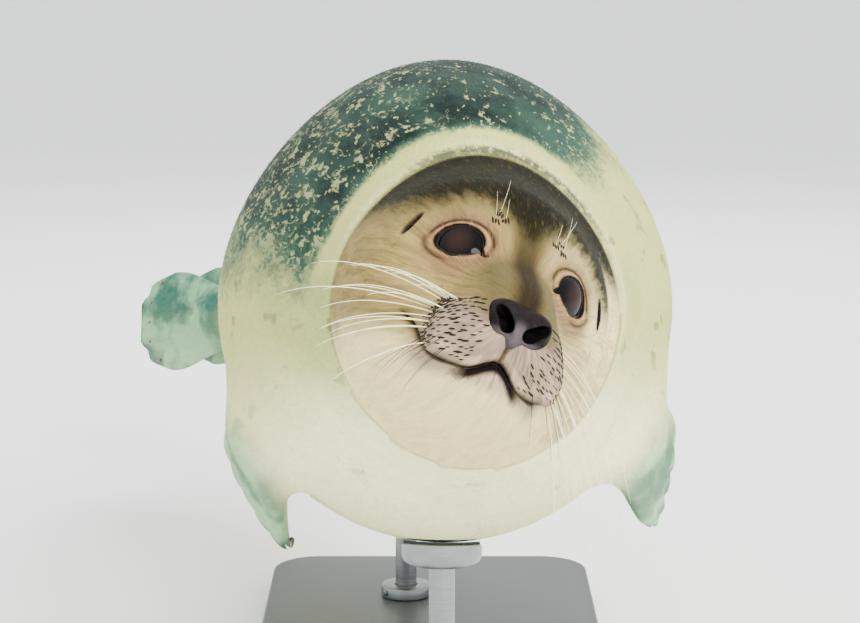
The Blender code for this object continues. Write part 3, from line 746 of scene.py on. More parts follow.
# where the coat's colours lie, as soft shares between 0 and 1
marks = {
    "mantleTurn": 17.0, "mantleHalf": (32.0, 82.0),        # degrees round the back
    "capEdge": ((0.0, 0.017, 0.034, 0.050, 0.068, 0.080, 0.110),
                (0.0215, 0.034, 0.041, 0.034, 0.021, 0.015, 0.015)),
    "capRise": 0.036, "stripeHalf": (0.0040, 0.0150),
    "earWidth": 0.0022, "hairFrom": (0.0, -0.075, -0.035),
}


def coatZones(points):
    own = toHead(points)
    x, y, z = own.T
    ax = np.abs(x)
    across, at, beyond, up = straighten(points)
    roll = np.degrees(np.arctan2(across, up))
    behind = behindRing(points)
    head = 1 - ramp(behind, -0.006, 0.006)
    mantle = 1 - ramp(np.abs(roll + marks["mantleTurn"]), *marks["mantleHalf"])
    mantle = mantle * ramp(behind, 0.030, 0.052)
    belly = ramp(np.abs(roll), 95, 140) * (1 - head) + ramp(-z, 0.062, 0.088) * head
    flipper = ramp(trunkField(points), 0.006, 0.032) * ramp(behind, 0.050, 0.100)
    flipper = np.maximum(flipper, ramp(points[:, 1], 1.22, 1.34))
    rise = marks["capRise"] * ramp(y, 0.055, 0.115) * ramp(x, 0.050, 0.078)
    cap = ramp(z - np.interp(ax, *marks["capEdge"]) - rise, -0.032, 0.020) * head
    low, high = marks["stripeHalf"]
    stripe = (1 - ramp(ax, low, high + 0.2 * np.maximum(z, 0))) * ramp(z, -0.052, -0.030)
    stripe = stripe * (1 - ramp(z, 0.030, 0.045)) * head
    patch = 1 - ramp(fromEye(own), 0.020, 0.036)
    lids, folds, rims = (np.zeros(len(own)) for _ in range(3))
    for side in (1, -1):
        a, b, out, ring, inner = lidShape(own, side)
        ring = np.minimum(ring, 3)
        # painted shade in the fold over each eye and in the bag under it
        crease = bell((ring - 1.42) * 0.013, 0.0014) * ramp(b, -0.004, 0.004)
        low = bell((ring - 1.54) * 0.012, 0.0014) * ramp(-a, -0.002, 0.009) * ramp(-b, -0.003, 0.004)
        edgeDark = 1 - ramp(np.minimum(ring, inner * 0.9 + 0.1), 1.09, 1.17)
        inView = out > 0.002
        lids = np.maximum(lids, inView * edgeDark)
        folds = np.maximum(folds, inView * np.maximum(crease, 0.9 * low))
        rims = np.maximum(rims, inView * bell(ring - 1.24, 0.07))
    muzzle = (1 - ramp(y, -0.030, -0.004)) * (1 - ramp(z, -0.050, -0.036)) * ramp(z, -0.096, -0.086)
    bridge = (1 - ramp(ax, 0.022, 0.042)) * (1 - ramp(y, -0.026, -0.004)) * ramp(z, -0.058, -0.046)
    lip, front = lipLine(own)
    corner = ramp(y, -0.040, -0.022)
    # the mouth line is dark lip skin with painted shade in its groove, the philtrum at half strength is
    # painted shade in its groove, and the ear slits are dark bare skin with painted shade inside
    mouth = bell(lip - 0.0004, 0.0012 + 0.0018 * corner) * front * (1 - 0.35 * bell(ax - 0.025, 0.007))
    # painted shadow under the upper lip, lying on the lower lip below the mouth line
    lipShadow = ramp(-lip, 0.0, 0.0008) * (1 - ramp(-lip, 0.0045, 0.0110)) * (1 - ramp(ax, 0.016, 0.030)) * front
    philtrum = bell(x, 0.0010) * (1 - ramp(z, -0.058, -0.054))
    philtrum = philtrum * ramp(lip, 0, 0.002) * (1 - ramp(y, -0.05, -0.045))
    slit = np.maximum(*[1 - ramp(earSlit(own, s), 0.0, marks["earWidth"]) for s in (1, -1)])
    dark = np.clip(np.maximum.reduce([mouth, philtrum * 0.5, slit, lids]), 0, 1)
    # behind the ring a mottled band, partly painted shade in the ring's crease, then a pale line painted as
    # a highlight on the roll behind it, which runs further down each side
    fromTop = np.abs(np.degrees(np.arctan2(x, z)))
    line = bell(behind - 0.0100, 0.0045) * (1 - ramp(fromTop, 70, 125))
    band = 0.95 * ramp(behind, -0.0010, 0.0010) * (1 - ramp(behind, 0.0060, 0.0130))
    band = band * (1 - ramp(fromTop, 30, 72))
    place = np.stack([across, at + beyond, up], axis=1)
    reach = np.linalg.norm(own - marks["hairFrom"], axis=1)
    about = np.arctan2(z - marks["hairFrom"][2], x)
    swept = np.stack([0.07 * np.cos(about), 0.07 * np.sin(about), 0.14 * reach], axis=1)
    combed = np.where((behind < 0)[:, None], swept, place * [1, 0.14, 1] + [0, 0.5, 0])
    return {
        "coatPlace": place,
        "hairPlace": combed,
        "zoneFold": np.stack([lipShadow, rims, folds], axis=1),
        "zoneBody": np.stack([mantle, belly, flipper], axis=1),
        "zoneHead": np.stack([cap, stripe, head], axis=1),
        "zoneFace": np.stack([patch, muzzle, dark], axis=1),
        "zoneNeck": np.stack([line, band, bridge], axis=1),
    }


def markPiece(piece, zones):
    for name, values in zones.items():
        addAttribute(piece, name, values)


markPiece(sealSkin, coatZones(fromWorld(getPlaces(sealSkin))))
enrol(sealSkin, "coat_body", "head", "muzzle", "lower_jaw", "neck", "chest", "belly", "hips", "rump", "tail",
      *flippers)
print("coat zones marked")


# small helpers for round pieces
def joinPieces(name, pieces):
    bpy.ops.object.select_all(action="DESELECT")
    for piece in pieces:
        piece.select_set(True)
    bpy.context.view_layer.objects.active = pieces[0]
    bpy.ops.object.join()
    pieces[0].name = pieces[0].data.name = name
    return pieces[0]


def tube(name, path, radii, segments=8):
    # a round tube along the path, in the swimming frame, closed at both ends
    path, radii = np.asarray(path), np.asarray(radii)
    piece, ring, segment = primitiveSphere(name, segments, len(path))
    ahead = unit(np.gradient(path, axis=0))
    across = unit(np.cross(ahead, ahead[0] + [0.31, 0.17, 0.93]))
    up = np.cross(across, ahead)
    at = np.clip(ring - 1, 0, len(path) - 1)
    angle = segment * 2 * math.pi / segments
    size = radii[at] * ((ring > 0) & (ring <= len(path)))
    outward = np.cos(angle)[:, None] * across[at] + np.sin(angle)[:, None] * up[at]
    setPlaces(piece, toWorld(path[at] + size[:, None] * outward))
    addAttribute(piece, "along", at / (len(path) - 1), "FLOAT")
    return piece


def fieldNormal(points, step=0.0008):
    return unit(np.stack([sealField(points + np.eye(3)[k] * step) - sealField(points - np.eye(3)[k] * step)
                          for k in range(3)], axis=1))


def ontoCoat(origin, directions, far=0.09):
    # the coat's surface, met from outside along each direction out of one point of the head frame
    start, ways = fromHead(origin), directions @ headTurn.T
    return start + ways * castOut(start, ways, sealField, far, 40)[:, None]


# the eyes: dark wet balls with a raised cornea, each in a dark wet lid edge
ball = {"segments": 64, "rings": 47, "proud": 0.0006, "cornea": 0.0006, "corneaHalf": (16.0, 54.0)}
lidEdge = {"thick": 0.00095, "steps": 96, "sides": 10, "ring": 1.045, "sunk": 0.0007,
           "widest": 0.026, "stride": 0.0002, "far": 0.034}


def makeEye(name, side):
    piece, ring, segment = primitiveSphere(name, ball["segments"], ball["rings"])
    tip = ring / (ball["rings"] + 1) * 180
    angle = segment * 2 * math.pi / ball["segments"]
    size = eyes["radius"] + ball["proud"] + ball["cornea"] * (1 - ramp(tip, *ball["corneaHalf"]))
    tipped = np.radians(tip)
    own = np.stack([np.sin(tipped) * np.cos(angle), np.cos(tipped), np.sin(tipped) * np.sin(angle)], axis=1)
    setPlaces(piece, toWorld(fromHead(eyeCentre(side) + size[:, None] * (own @ eyeTurn(side).T))))
    addAttribute(piece, "irisReach", tip / 90, "FLOAT")
    ahead, middle = toWorld(fromHead(np.array([eyeDirection(side), np.zeros(3)])))
    addAttribute(piece, "gaze", np.repeat([ahead - middle], len(own), axis=0))
    return enrol(outwards(piece), "eye_dark", "eye_left" if side > 0 else "eye_right")


def evened(values, times):
    # smooths values that run round a closed curve
    for _ in range(times):
        values = (np.roll(values, 1, axis=0) + values + np.roll(values, -1, axis=0)) / 3
    return values


def lidCurve(side, angles):
    # the rim of the eye's opening, met from straight ahead of the eye at each angle round it
    turn, centre = eyeTurn(side), eyeCentre(side)
    span = np.full(len(angles), lidEdge["widest"])

    def spots(span):
        a, b = span * np.cos(angles), span * np.sin(angles) + 0.10 * span * np.cos(angles)
        return centre + np.stack([side * a, np.zeros(len(a)), b], axis=1) @ turn.T

    for _ in range(70):
        _, _, _, ring, inner = lidShape(spots(span), side)
        span = span - lidEdge["stride"] * (np.minimum(ring, inner * 0.9 + 0.1) > lidEdge["ring"])
    span = evened(span, 4)
    starts, ways = fromHead(spots(span)), np.repeat([headTurn @ turn[:, 1]], len(angles), axis=0)
    reach = castOut(starts, ways, sealField, lidEdge["far"], 40)
    return evened(toHead(starts + ways * reach[:, None]), 2)


def makeLidEdge(side):
    steps, sides = lidEdge["steps"], lidEdge["sides"]
    bpy.ops.mesh.primitive_torus_add(major_segments=steps, minor_segments=sides,
                                     major_radius=1, minor_radius=0.2)
    piece = bpy.context.object
    place = getPlaces(piece)
    turn = np.arctan2(place[:, 1], place[:, 0])
    step = np.rint(turn / (2 * math.pi) * steps).astype(int) % steps
    minor = np.arctan2(place[:, 2], np.hypot(place[:, 0], place[:, 1]) - 1)
    curve = lidCurve(side, np.arange(steps) * 2 * math.pi / steps)
    out = unit(curve - eyeCentre(side))
    sideways = unit(np.cross(out, np.roll(curve, -1, axis=0) - np.roll(curve, 1, axis=0)))
    middle = curve - lidEdge["sunk"] * out
    outward = np.cos(minor)[:, None] * sideways[step] + np.sin(minor)[:, None] * out[step]
    setPlaces(piece, toWorld(fromHead(middle[step] + lidEdge["thick"] * outward)))
    return piece


eyePieces = [makeEye("eyeLeft", 1), makeEye("eyeRight", -1)]
lidEdges = enrol(outwards(joinPieces("lidEdges", [makeLidEdge(1), makeLidEdge(-1)])), "nose_leather")
print("eyes and lid edges made")


def makeNose():
    piece, ring, segment = primitiveSphere("noseLeather", nose["segments"], nose["rings"])
    tip = ring / (nose["rings"] + 1) * math.pi
    angle = segment * 2 * math.pi / nose["segments"]
    ways = np.stack([np.sin(tip) * np.cos(angle), -np.cos(tip), np.sin(tip) * np.sin(angle)], axis=1)
    own = nose["core"] + ways * castOut(nose["core"], ways, noseField, 0.040, 60)[:, None]
    setPlaces(piece, toWorld(fromHead(own)))
    # how deep a point lies in a nostril, which the leather paints black as shade
    addAttribute(piece, "depth", np.clip(-nosePad(own), 0, 0.010) * 1000, "FLOAT")     # in millimetres
    septum = (1 - ramp(np.abs(own[:, 0]), 0.001, 0.006)) * (1 - ramp(own[:, 2], -0.050, -0.040))
    addAttribute(piece, "pale", np.maximum(septum, 1 - ramp(own[:, 2], -0.056, -0.051)), "FLOAT")
    return enrol(outwards(piece), "nose_leather", "nose")


noseLeather = makeNose()
print("nose made")


# whiskers stand in rows on the pads, each out of its own dark pit
pads = {"middle": (0.0185, -0.030, -0.0580), "rows": 12, "columns": 16,
        "turn": (2.0, 116.0), "tip": (32.0, -44.0), "pitLong": 0.0024, "pitWide": 0.00064,
        "firstLong": 7, "scatter": 1.4}
whisker = {"short": 0.030, "long": 0.110, "root": 0.00050, "end": 0.00010, "droop": {1: 1.35, -1: 0.42},
           "dip": {1: -0.42, -1: 0.0}, "seed": 7}
brow = {"pits": ((0.0262, 0.0040, 0.0244), (0.0195, 0.0059, 0.0279), (0.0236, 0.0110, 0.0295)),
        "from": (0.0, 0.06, -0.03), "long": 0.042, "root": 0.00013, "end": 0.00005,
        "streaks": 3, "streakWide": 0.00085}


def curvedHair(name, root, way, droop, long, rootSize, endSize):
    t = np.linspace(0, 1, 13)[:, None]
    down, back = fromWorldWay([0, 0, -1]), headTurn @ np.array([0, 1.0, 0])
    path = root + long * (t * way + t**2 * (0.55 * droop * down + 0.22 * back) - t**3 * 0.12 * way)
    radii = endSize + (rootSize - endSize) * (1 - t[:, 0])**0.8
    return tube(name, path, radii, 6)


def streak(middle, half, wide):
    # a dark pit, drawn out along the lie of the hair
    lengthwise = np.linspace(-1, 1, 5)
    return tube("pit", middle + lengthwise[:, None] * half, wide * np.sqrt(1.04 - lengthwise**2), 6)


def makeWhiskers():
    draw = np.random.default_rng(whisker["seed"])
    hairs, pits = [], []
    row, column = (grid.ravel() for grid in np.mgrid[0:pads["rows"], 0:pads["columns"]])
    shares = (column + 0.5 * (row % 2)) / (pads["columns"] - 0.5)
    for side in (1, -1):
        origin = np.array(pads["middle"]) * [side, 1, 1]
        turn, tip = (np.radians(np.interp(at, (0, 1), pads[key]) + draw.normal(0, pads["scatter"], len(row)))
                     for at, key in ((shares, "turn"), (row / (pads["rows"] - 1), "tip")))
        level = np.cos(tip)
        ways = np.stack([side * np.sin(turn) * level, -np.cos(turn) * level, np.sin(tip)], axis=1)
        roots = ontoCoat(origin, ways)
        own, normals = toHead(roots), fieldNormal(roots)
        atNose = nosePad(own) < 0.0020
        atLip = lipLine(own)[0] < 0.0030
        for spot in np.flatnonzero(~atNose & ~atLip):
            root, normal, share = roots[spot:spot + 1], normals[spot], shares[spot]
            back = headTurn @ unit(np.array([side * 0.75, 0.55, -0.25]))
            lie = unit(back - (back @ normal) * normal)
            size = draw.uniform(0.6, 1.25)
            pits.append(streak(root + 0.0001 * normal, pads["pitLong"] * size * lie, pads["pitWide"] * size))
            if row[spot] > 7 and 2 < column[spot] < 11 and draw.random() < 0.30:
                low = headTurn @ unit(np.array([side * 0.5, 0.1, -0.8]))
                first = unit(0.5 * normal + low + draw.normal(0, 0.08, 3))
                pits.append(curvedHair("darkHair", root[0] - 0.001 * normal, first, 0.5,
                                       draw.uniform(0.020, 0.042), 0.00030, 0.00008))
            if column[spot] < pads["firstLong"] or draw.random() < 0.79:
                continue
            long = np.interp(share, (0.3, 1.0), (whisker["short"], whisker["long"]))
            long = long * draw.uniform(0.8, 1.15)
            dip = whisker["dip"][side] + 0.02 - 0.068 * row[spot]
            lateral = headTurn @ unit(np.array([side * 0.86, -0.30 + 0.35 * share, dip]))
            first = unit(0.45 * normal + lateral + draw.normal(0, 0.05, 3))
            hairs.append(curvedHair("whisker", root[0] - 0.001 * normal, first, whisker["droop"][side], long,
                                    whisker["root"] * (0.7 + 0.3 * share), whisker["end"]))
        for place in brow["pits"]:
            own = np.array(place) * [side, 1, 1]
            way = unit(own - brow["from"])
            root = ontoCoat(brow["from"], way[None])
            normal = fieldNormal(root)[0]
            up = headTurn @ unit(np.array([side * draw.uniform(0.0, 0.3), -0.1, 1.0]))
            lie = unit(up - (up @ normal) * normal)
            beside = np.cross(normal, lie)
            for k in range(brow["streaks"]):
                at = root + (k - 1) * 0.0020 * beside + draw.normal(0, 0.0006) * lie
                half = draw.uniform(0.0022, 0.0042) * (lie + 0.12 * draw.normal() * beside)
                pits.append(streak(at, half, brow["streakWide"]))
            first = unit(lie + 0.50 * normal + 0.07 * draw.normal() * beside)
            hairs.append(curvedHair("whisker", root[0] - 0.001 * normal, first, 0.12,
                                    brow["long"] * draw.uniform(0.5, 1.1), brow["root"], brow["end"]))
    return outwards(joinPieces("whiskers", hairs)), outwards(joinPieces("whiskerPits", pits))


whiskers, whiskerPits = makeWhiskers()
enrol(whiskers, "coat_face")
enrol(whiskerPits, "nose_leather")
print("whiskers made:", len(whiskers.data.polygons), "faces")


# five claws on each flipper, curved towards the tip
claw = {"steps": 9, "thick": 0.17, "droop": 0.40, "rooted": 0.93, "over": 0.55}


def makeClaws():
    made = []
    for flipper in flippers.values():
        long = flipper["sizes"]["claw"]
        for digit in digits:
            root, outer, ahead = (value[0] for value in flipperSurface(
                flipper, np.array([claw["rooted"]]), np.array([digit]), np.array([claw["over"]])))
            t = np.linspace(0, 1, claw["steps"])[:, None]
            curve = t * ahead - t**2 * claw["droop"] * outer * 0.8
            path = root - ahead * 0.25 * long + long * 1.25 * curve
            radii = long * claw["thick"] * np.sqrt(np.clip(1 - t[:, 0]**1.6, 0.004, 1))
            made.append(tube("claw", path, radii, 10))
    return outwards(joinPieces("claws", made))


claws = enrol(makeClaws(), "coat_flipper")
print("claws made")


# the coat: short flat hairs, closest and shortest on the face and the flippers
coat = {"seed": 11, "behind": (-0.19, -0.10, -0.02, 0.06, 0.20),       # stations behind the neck's ring
        "gap": (0.00125, 0.0014, 0.0018, 0.0021, 0.0027), "long": (0.0036, 0.0042, 0.0050, 0.0060, 0.0072),
        "flipperGap": 0.0021, "flipperLong": 0.0044, "quickGap": 1.8, "slim": 0.080, "faceSlim": 0.085,
        "stray": 0.08, "lift": (5.5, 2.4), "sink": 0.0003, "thick": 0.0001, "patch": 0.003, "sheen": 0.10,
        "mostInPiece": 48000}


def lieOfCoat(points):
    # the way the hair points: back from the nose on the head, along the spine, and down each flipper
    own = toHead(points)
    fromNose = unit(own - marks["hairFrom"]) @ headTurn.T
    at, _ = alongSpine(points)
    way = unit(readSpine(spineTangents, at) + 0.25 * fromNose * (1 - ramp(own[:, 1], 0.15, 0.5))[:, None])
    share = ramp(own[:, 1], 0.02, 0.16)[:, None]
    way = unit((1 - share) * fromNose + share * way)
    for flipper in flippers.values():
        start, wrist, tip = (np.array(place) for place in flipper["line"])
        middle = (start + wrist + tip) / 3
        near = 1 - ramp(np.linalg.norm(points - middle, axis=1), 0.085, 0.150)
        near = (near * ramp(plainField(points), 0.0, 0.02))[:, None]
        way = unit(way * (1 - near) + near * unit(tip - wrist))
    return way


def isBare(own):
    # no hair grows on the eyes, the nose, the lips' edge or in the ear slits
    bare = noseField(own) < 0.0012
    for side in (1, -1):
        _, _, out, ring, inner = lidShape(own, side)
        bare |= (np.minimum(ring, inner) < 1.16) & (out > 0)
        bare |= earSlit(own, side) < 0.0006
    lip, front = lipLine(own)
    return bare | (np.abs(lip) < 0.0012) & (front > 0.5)


def growCoat():
    draw = np.random.default_rng(coat["seed"])
    places, corners = getPlaces(sealSkin), readMesh(sealSkin.data.polygons, "vertices", 3, int)
    swim = fromWorld(places)
    normals, unwrap = readMesh(sealSkin.data.vertices, "normal"), getVector(sealSkin, "unwrap")
    a, b, c = (places[corners[:, k]] for k in range(3))
    area = np.linalg.norm(np.cross(b - a, c - a), axis=1) / 2
    middle = swim[corners].mean(axis=1)
    gap = np.interp(behindRing(middle), coat["behind"], coat["gap"])
    away = ramp(plainField(middle), 0.010, 0.030)
    gap = gap + (coat["flipperGap"] - gap) * away
    count = np.floor(area / gap**2 + draw.random(len(area))).astype(int)
    chosen = np.repeat(np.arange(len(corners)), count)
    first, second = draw.random(len(chosen)), draw.random(len(chosen))
    flip = first + second > 1
    first, second = np.where(flip, 1 - first, first), np.where(flip, 1 - second, second)
    weights = np.stack([1 - first - second, first, second], axis=1)[:, :, None]
    held = corners[chosen]
    roots = (swim[held] * weights).sum(axis=1)
    world = (places[held] * weights).sum(axis=1)
    normal = unit((normals[held] * weights).sum(axis=1))
    spread = (unwrap[held] * weights).sum(axis=1)
    keep = ~isBare(toHead(roots))
    roots, world, normal, spread = (values[keep] for values in (roots, world, normal, spread))
    away = away[chosen][keep]
    lie = toWorld(lieOfCoat(roots)) - toWorld(np.zeros((1, 3)))
    stray = draw.normal(0, coat["stray"], roots.shape)
    lie = unit(lie - (lie * normal).sum(axis=1)[:, None] * normal + stray)
    side = unit(np.cross(normal, lie))
    behind = behindRing(roots)
    long = np.interp(behind, coat["behind"], coat["long"])
    long = (long + (coat["flipperLong"] - long) * away) * draw.uniform(0.7, 1.2, len(roots))
    slim = coat["faceSlim"] + (coat["slim"] - coat["faceSlim"]) * ramp(behind, -0.05, 0.10)
    lift = np.radians(np.interp(behind, (-0.05, 0.08), coat["lift"]) * draw.uniform(0.4, 1.5, len(roots)))
    half = side * (long * slim / 2)[:, None]
    base = world - normal * coat["sink"]
    tip = base + (long * np.cos(lift))[:, None] * lie + (long * np.sin(lift))[:, None] * normal
    keel = base + 0.30 * (tip - base) - coat["thick"] * normal
    blades = np.stack([base - half, base + half, tip, keel], axis=1)
    facing = unit(normal + draw.normal(0, coat["sheen"], roots.shape))
    clear = ~isBare(toHead(fromWorld(tip)))           # nor does any hair reach over them
    grown = {"roots": roots, "spread": spread, "blades": blades, "facing": facing,
             "luck": draw.random(len(roots))}
    return {key: values[clear] for key, values in grown.items()}


bladeFaces = np.array([[0, 2, 1], [0, 1, 3], [1, 2, 3], [2, 0, 3]])


def coatPiece(name, grown):
    roots, spread, blades, facing, luck = grown.values()
    count = len(blades)
    mesh = bpy.data.meshes.new(name)
    mesh.vertices.add(count * 4)
    mesh.vertices.foreach_set("co", blades.astype(np.float32).ravel())
    corners = (bladeFaces[None] + 4 * np.arange(count)[:, None, None]).reshape(-1)
    mesh.loops.add(len(corners))
    mesh.loops.foreach_set("vertex_index", corners)
    mesh.polygons.add(count * 4)
    mesh.polygons.foreach_set("loop_start", np.arange(count * 4) * 3)
    mesh.update(calc_edges=True)
    # a tuft shines as the skin under it
    mesh.normals_split_custom_set_from_vertices(np.repeat(facing, 4, axis=0))
    piece = bpy.data.objects.new(name, mesh)
    bpy.context.scene.collection.objects.link(piece)
    markPiece(piece, {key: np.repeat(values, 4, axis=0) for key, values in coatZones(roots).items()})
    tuft = np.zeros((count, 4, 3))
    tuft[:, :, 0] = luck[:, None]
    tuft[:, 2, 1] = 1.0
    addAttribute(piece, "tuft", tuft.reshape(-1, 3))
    angle = (np.arctan2(spread[:, 1], spread[:, 0]) / (2 * math.pi)) % 1
    onFlippers = (spread[:, 2] > 5).any()
    along = spread[:, 2] % 10 if onFlippers else spread[:, 2]
    low, high = along.min(), along.max()
    upright = (along - low) / max(high - low, 1e-6)
    if onFlippers:        # each flipper has a quarter of the map
        number = np.rint((spread[:, 2] - along) / 10).astype(int) - 1
        angle, upright = (angle + number % 2) / 2, (upright + number // 2) / 2
    edge = coat["patch"]
    centre = np.stack([edge + angle * (1 - 2 * edge), edge + upright * (1 - 2 * edge)], axis=1)
    patch = np.array([[-0.5, -0.5], [0.5, -0.5], [0.0, 0.5], [0.0, -0.2]]) * edge
    layer = mesh.uv_layers.new(name="OFBake")
    places = (centre[:, None] + patch[None]).reshape(-1, 2)[corners]
    layer.data.foreach_set("uv", places.astype(np.float32).ravel())
    return enrol(piece, "coat_body")


def makeCoat():
    grown = growCoat()
    along = grown["spread"][:, 2]
    onFlipper = along > 5
    order = np.argsort(np.where(onFlipper, 1e6, along), kind="stable")
    bodyOrder, flipperOrder = np.split(order, [np.sum(~onFlipper)])
    parts = max(1, math.ceil(len(bodyOrder) / coat["mostInPiece"]))
    groups = [(f"coat{k + 1}", part) for k, part in enumerate(np.array_split(bodyOrder, parts))]
    groups.append(("coatFlippers", flipperOrder))
    return [coatPiece(name, {key: values[part] for key, values in grown.items()}) for name, part in groups]


coatPieces = makeCoat()
tuftCount = sum(len(piece.data.vertices) // 4 for piece in coatPieces)
print("coat grown:", tuftCount, "tufts in", len(coatPieces), "pieces")


# the stand: a base with rounded edges, turned rods, collars with a screw, and cups lined with felt
stand = {"sides": 72, "corner": 0.050, "cornerSteps": 12, "edge": 0.0030, "edgeSteps": 4, "bevel": 0.0010,
         "collarEdge": 0.0022, "gap": 0.0008, "felt": 0.0026, "inBelly": 0.45, "screw": 0.0030,
         "screwWay": (-0.80, -0.60, 0.0)}


def bellyOver(places):
    # how high the belly lies over each place of the base, met on the way down from inside it
    starts = fromWorld(places * [1, 1, 0] + [0, 0, stand["inBelly"]])
    down = np.repeat([fromWorldWay([0, 0, -1])], len(places), axis=0)
    return stand["inBelly"] - castOut(starts, down, plainField, stand["inBelly"] - 0.01, 40)


def around(middle, radius, segment, height):
    angle = segment * 2 * math.pi / stand["sides"]
    return np.stack([middle[0] + radius * np.cos(angle), middle[1] + radius * np.sin(angle), height], axis=1)


def lathe(name, middle, profile):
    # turned about an upright line: radius and height from the top down, below 0 to hang from the belly
    profile = np.array(profile)
    piece, ring, segment = primitiveSphere(name, stand["sides"], len(profile))
    radius, height = profile[np.clip(ring - 1, 0, len(profile) - 1)].T
    places = around(middle, radius * ((ring > 0) & (ring <= len(profile))), segment, height)
    hung = height < 0
    if hung.any():
        places[hung, 2] += bellyOver(places[hung])
    setPlaces(piece, places)
    return piece


def bored(name, middle, profile):
    # a turned piece with a hole through it: its profile goes round from the hole's top
    bpy.ops.mesh.primitive_torus_add(major_segments=stand["sides"], minor_segments=len(profile))
    piece = bpy.context.object
    segment, at = np.divmod(np.arange(stand["sides"] * len(profile)), len(profile))
    radius, height = np.array(profile)[at].T
    setPlaces(piece, around(middle, radius, segment, height))
    piece.name = name
    return piece


def selectEdges(piece, test):
    # selects the edges whose two ends pass the test together
    first, second = getPlaces(piece)[readMesh(piece.data.edges, "vertices", 2, int).T]
    onlyEdit(piece, "EDGE")
    bpy.ops.object.mode_set(mode="OBJECT")
    piece.data.edges.foreach_set("select", test(first, second))
    bpy.ops.object.mode_set(mode="EDIT")


def makeBase():
    low, high = (np.array(corner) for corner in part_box("stand_base"))
    bpy.ops.mesh.primitive_cube_add(size=1)
    base = bpy.context.object
    base.name = "standBase"
    setPlaces(base, getPlaces(base) * (high - low) + (high + low) / 2)
    for size, test in (("corner", lambda a, b: np.abs(a[:, 2] - b[:, 2]) > 0.01),
                       ("edge", lambda a, b: np.minimum(a[:, 2], b[:, 2]) > high[2] - 0.0001)):
        selectEdges(base, test)
        bpy.ops.mesh.bevel(offset=stand[size], segments=stand[size + "Steps"], affect="EDGES", profile=0.5)
        bpy.ops.object.mode_set(mode="OBJECT")
    return base


def makeUpright(end):
    parts = {}
    for kind in ("rod", "collar", "cup"):
        low, high = (np.array(corner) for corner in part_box(f"stand_{kind}_{end}"))
        parts[kind] = (low[2], high[2], (high[0] - low[0]) / 2)
        middle = (low + high) / 2
    bevel = stand["bevel"]
    low, high, rodSize = parts["rod"]
    rod = lathe("rod", middle, [(rodSize - bevel, high), (rodSize, high - bevel), (rodSize, low + bevel),
                                (rodSize - bevel, low)])
    low, high, size = parts["collar"]
    edge, hole = stand["collarEdge"], rodSize + 0.0004
    collar = bored("collar", middle, [(hole, high - bevel), (hole + bevel, high), (size - edge, high),
                                      (size - 0.3 * edge, high - 0.3 * edge), (size, high - edge),
                                      (size, low + bevel), (size - bevel, low), (hole, low)])
    way = np.array(stand["screwWay"])
    centre = middle * [1, 1, 0] + [0, 0, (low + high) / 2]
    steps = size + np.array([-0.003, 0.0010, 0.0018, 0.0022])
    sizes = stand["screw"] * np.array([1, 1, 0.85, 0.55])
    screw = tube("screw", fromWorld(centre + steps[:, None] * way), sizes, 24)
    low, _, size = parts["cup"]
    deep = -stand["gap"] - stand["felt"]
    rings = [(share * size, deep) for share in (0.25, 0.50, 0.75, 0.93)]
    cup = lathe("cup", middle, rings + [(size - bevel, deep), (size, deep - bevel), (size, low + 0.0040),
                                        (size - 0.0012, low + 0.0012), (size - 0.0040, low)])
    rings = [(share * (size - 0.0016), -stand["gap"]) for share in (0.25, 0.50, 0.75, 0.97, 1.0)]
    felt = lathe("felt", middle, rings + [(radius, deep - 0.0003) for radius, _ in rings[::-1]])
    return rod, collar, screw, cup, felt


def finishTurned(piece, slot, *nodes):
    outwards(piece)
    bpy.ops.object.shade_smooth_by_angle(angle=math.radians(28))
    return enrol(piece, slot, *nodes)


def finishPair(name, pieces, slot, kind=""):
    # the front and the rear piece of one kind, as one
    nodes = [f"stand_{kind}_{end}" for end in ("front", "rear") if kind]
    return finishTurned(joinPieces(name, pieces), slot, *nodes)


uprights = list(zip(makeUpright("front"), makeUpright("rear")))
standBase = finishTurned(makeBase(), "base_paint", "stand_base")
standRods = finishPair("standRods", uprights[0], "rod_steel", "rod")
standCollars = finishPair("standCollars", uprights[1], "rod_steel", "collar")
standScrews = finishPair("standScrews", uprights[2], "rod_steel")
standCups = finishPair("standCups", uprights[3], "rod_steel", "cup")
standFelts = finishPair("standFelts", uprights[4], "base_paint")
print("stand made")


# materials
def colour(red, green, blue):
    # from the usual 0 to 255 to the linear values that shaders take
    share = np.array([red, green, blue]) / 255
    linear = np.where(share <= 0.04045, share / 12.92, ((share + 0.055) / 1.055)**2.4)
    return (*linear.tolist(), 1.0)


def newGroup(name, inputs, outputs):
    group = bpy.data.node_groups.new(name, "ShaderNodeTree")
    for direction, sockets in (("INPUT", inputs), ("OUTPUT", outputs)):
        for label, kind in sockets.items():
            group.interface.new_socket(label, in_out=direction, socket_type="NodeSocket" + kind)
    return group, group.nodes.new("NodeGroupInput").outputs, group.nodes.new("NodeGroupOutput").inputs


def feed(tree, node, **inputs):
    # links or sets the node's inputs, by name or as _0, _1 and so on by number
    for key, value in inputs.items():
        socket = node.inputs[int(key[1:])] if key[0] == "_" else node.inputs[key.replace("_", " ")]
        if isinstance(value, bpy.types.NodeSocket):
            tree.links.new(value, socket)
        else:
            socket.default_value = value


def put(tree, kind, settings=(), **inputs):
    # adds a node, sets it up and feeds it
    node = tree.nodes.new("ShaderNode" + kind)
    for key, value in dict(settings).items():
        setattr(node, key, value)
    feed(tree, node, **inputs)
    return node


def reckon(tree, operation, first, second=0.0):
    return put(tree, "Math", {"operation": operation}, _0=first, _1=second).outputs[0]


def sway(tree, base, share, value):
    # base plus a share of a value that varies
    return reckon(tree, "ADD", base, reckon(tree, "MULTIPLY", value, share))


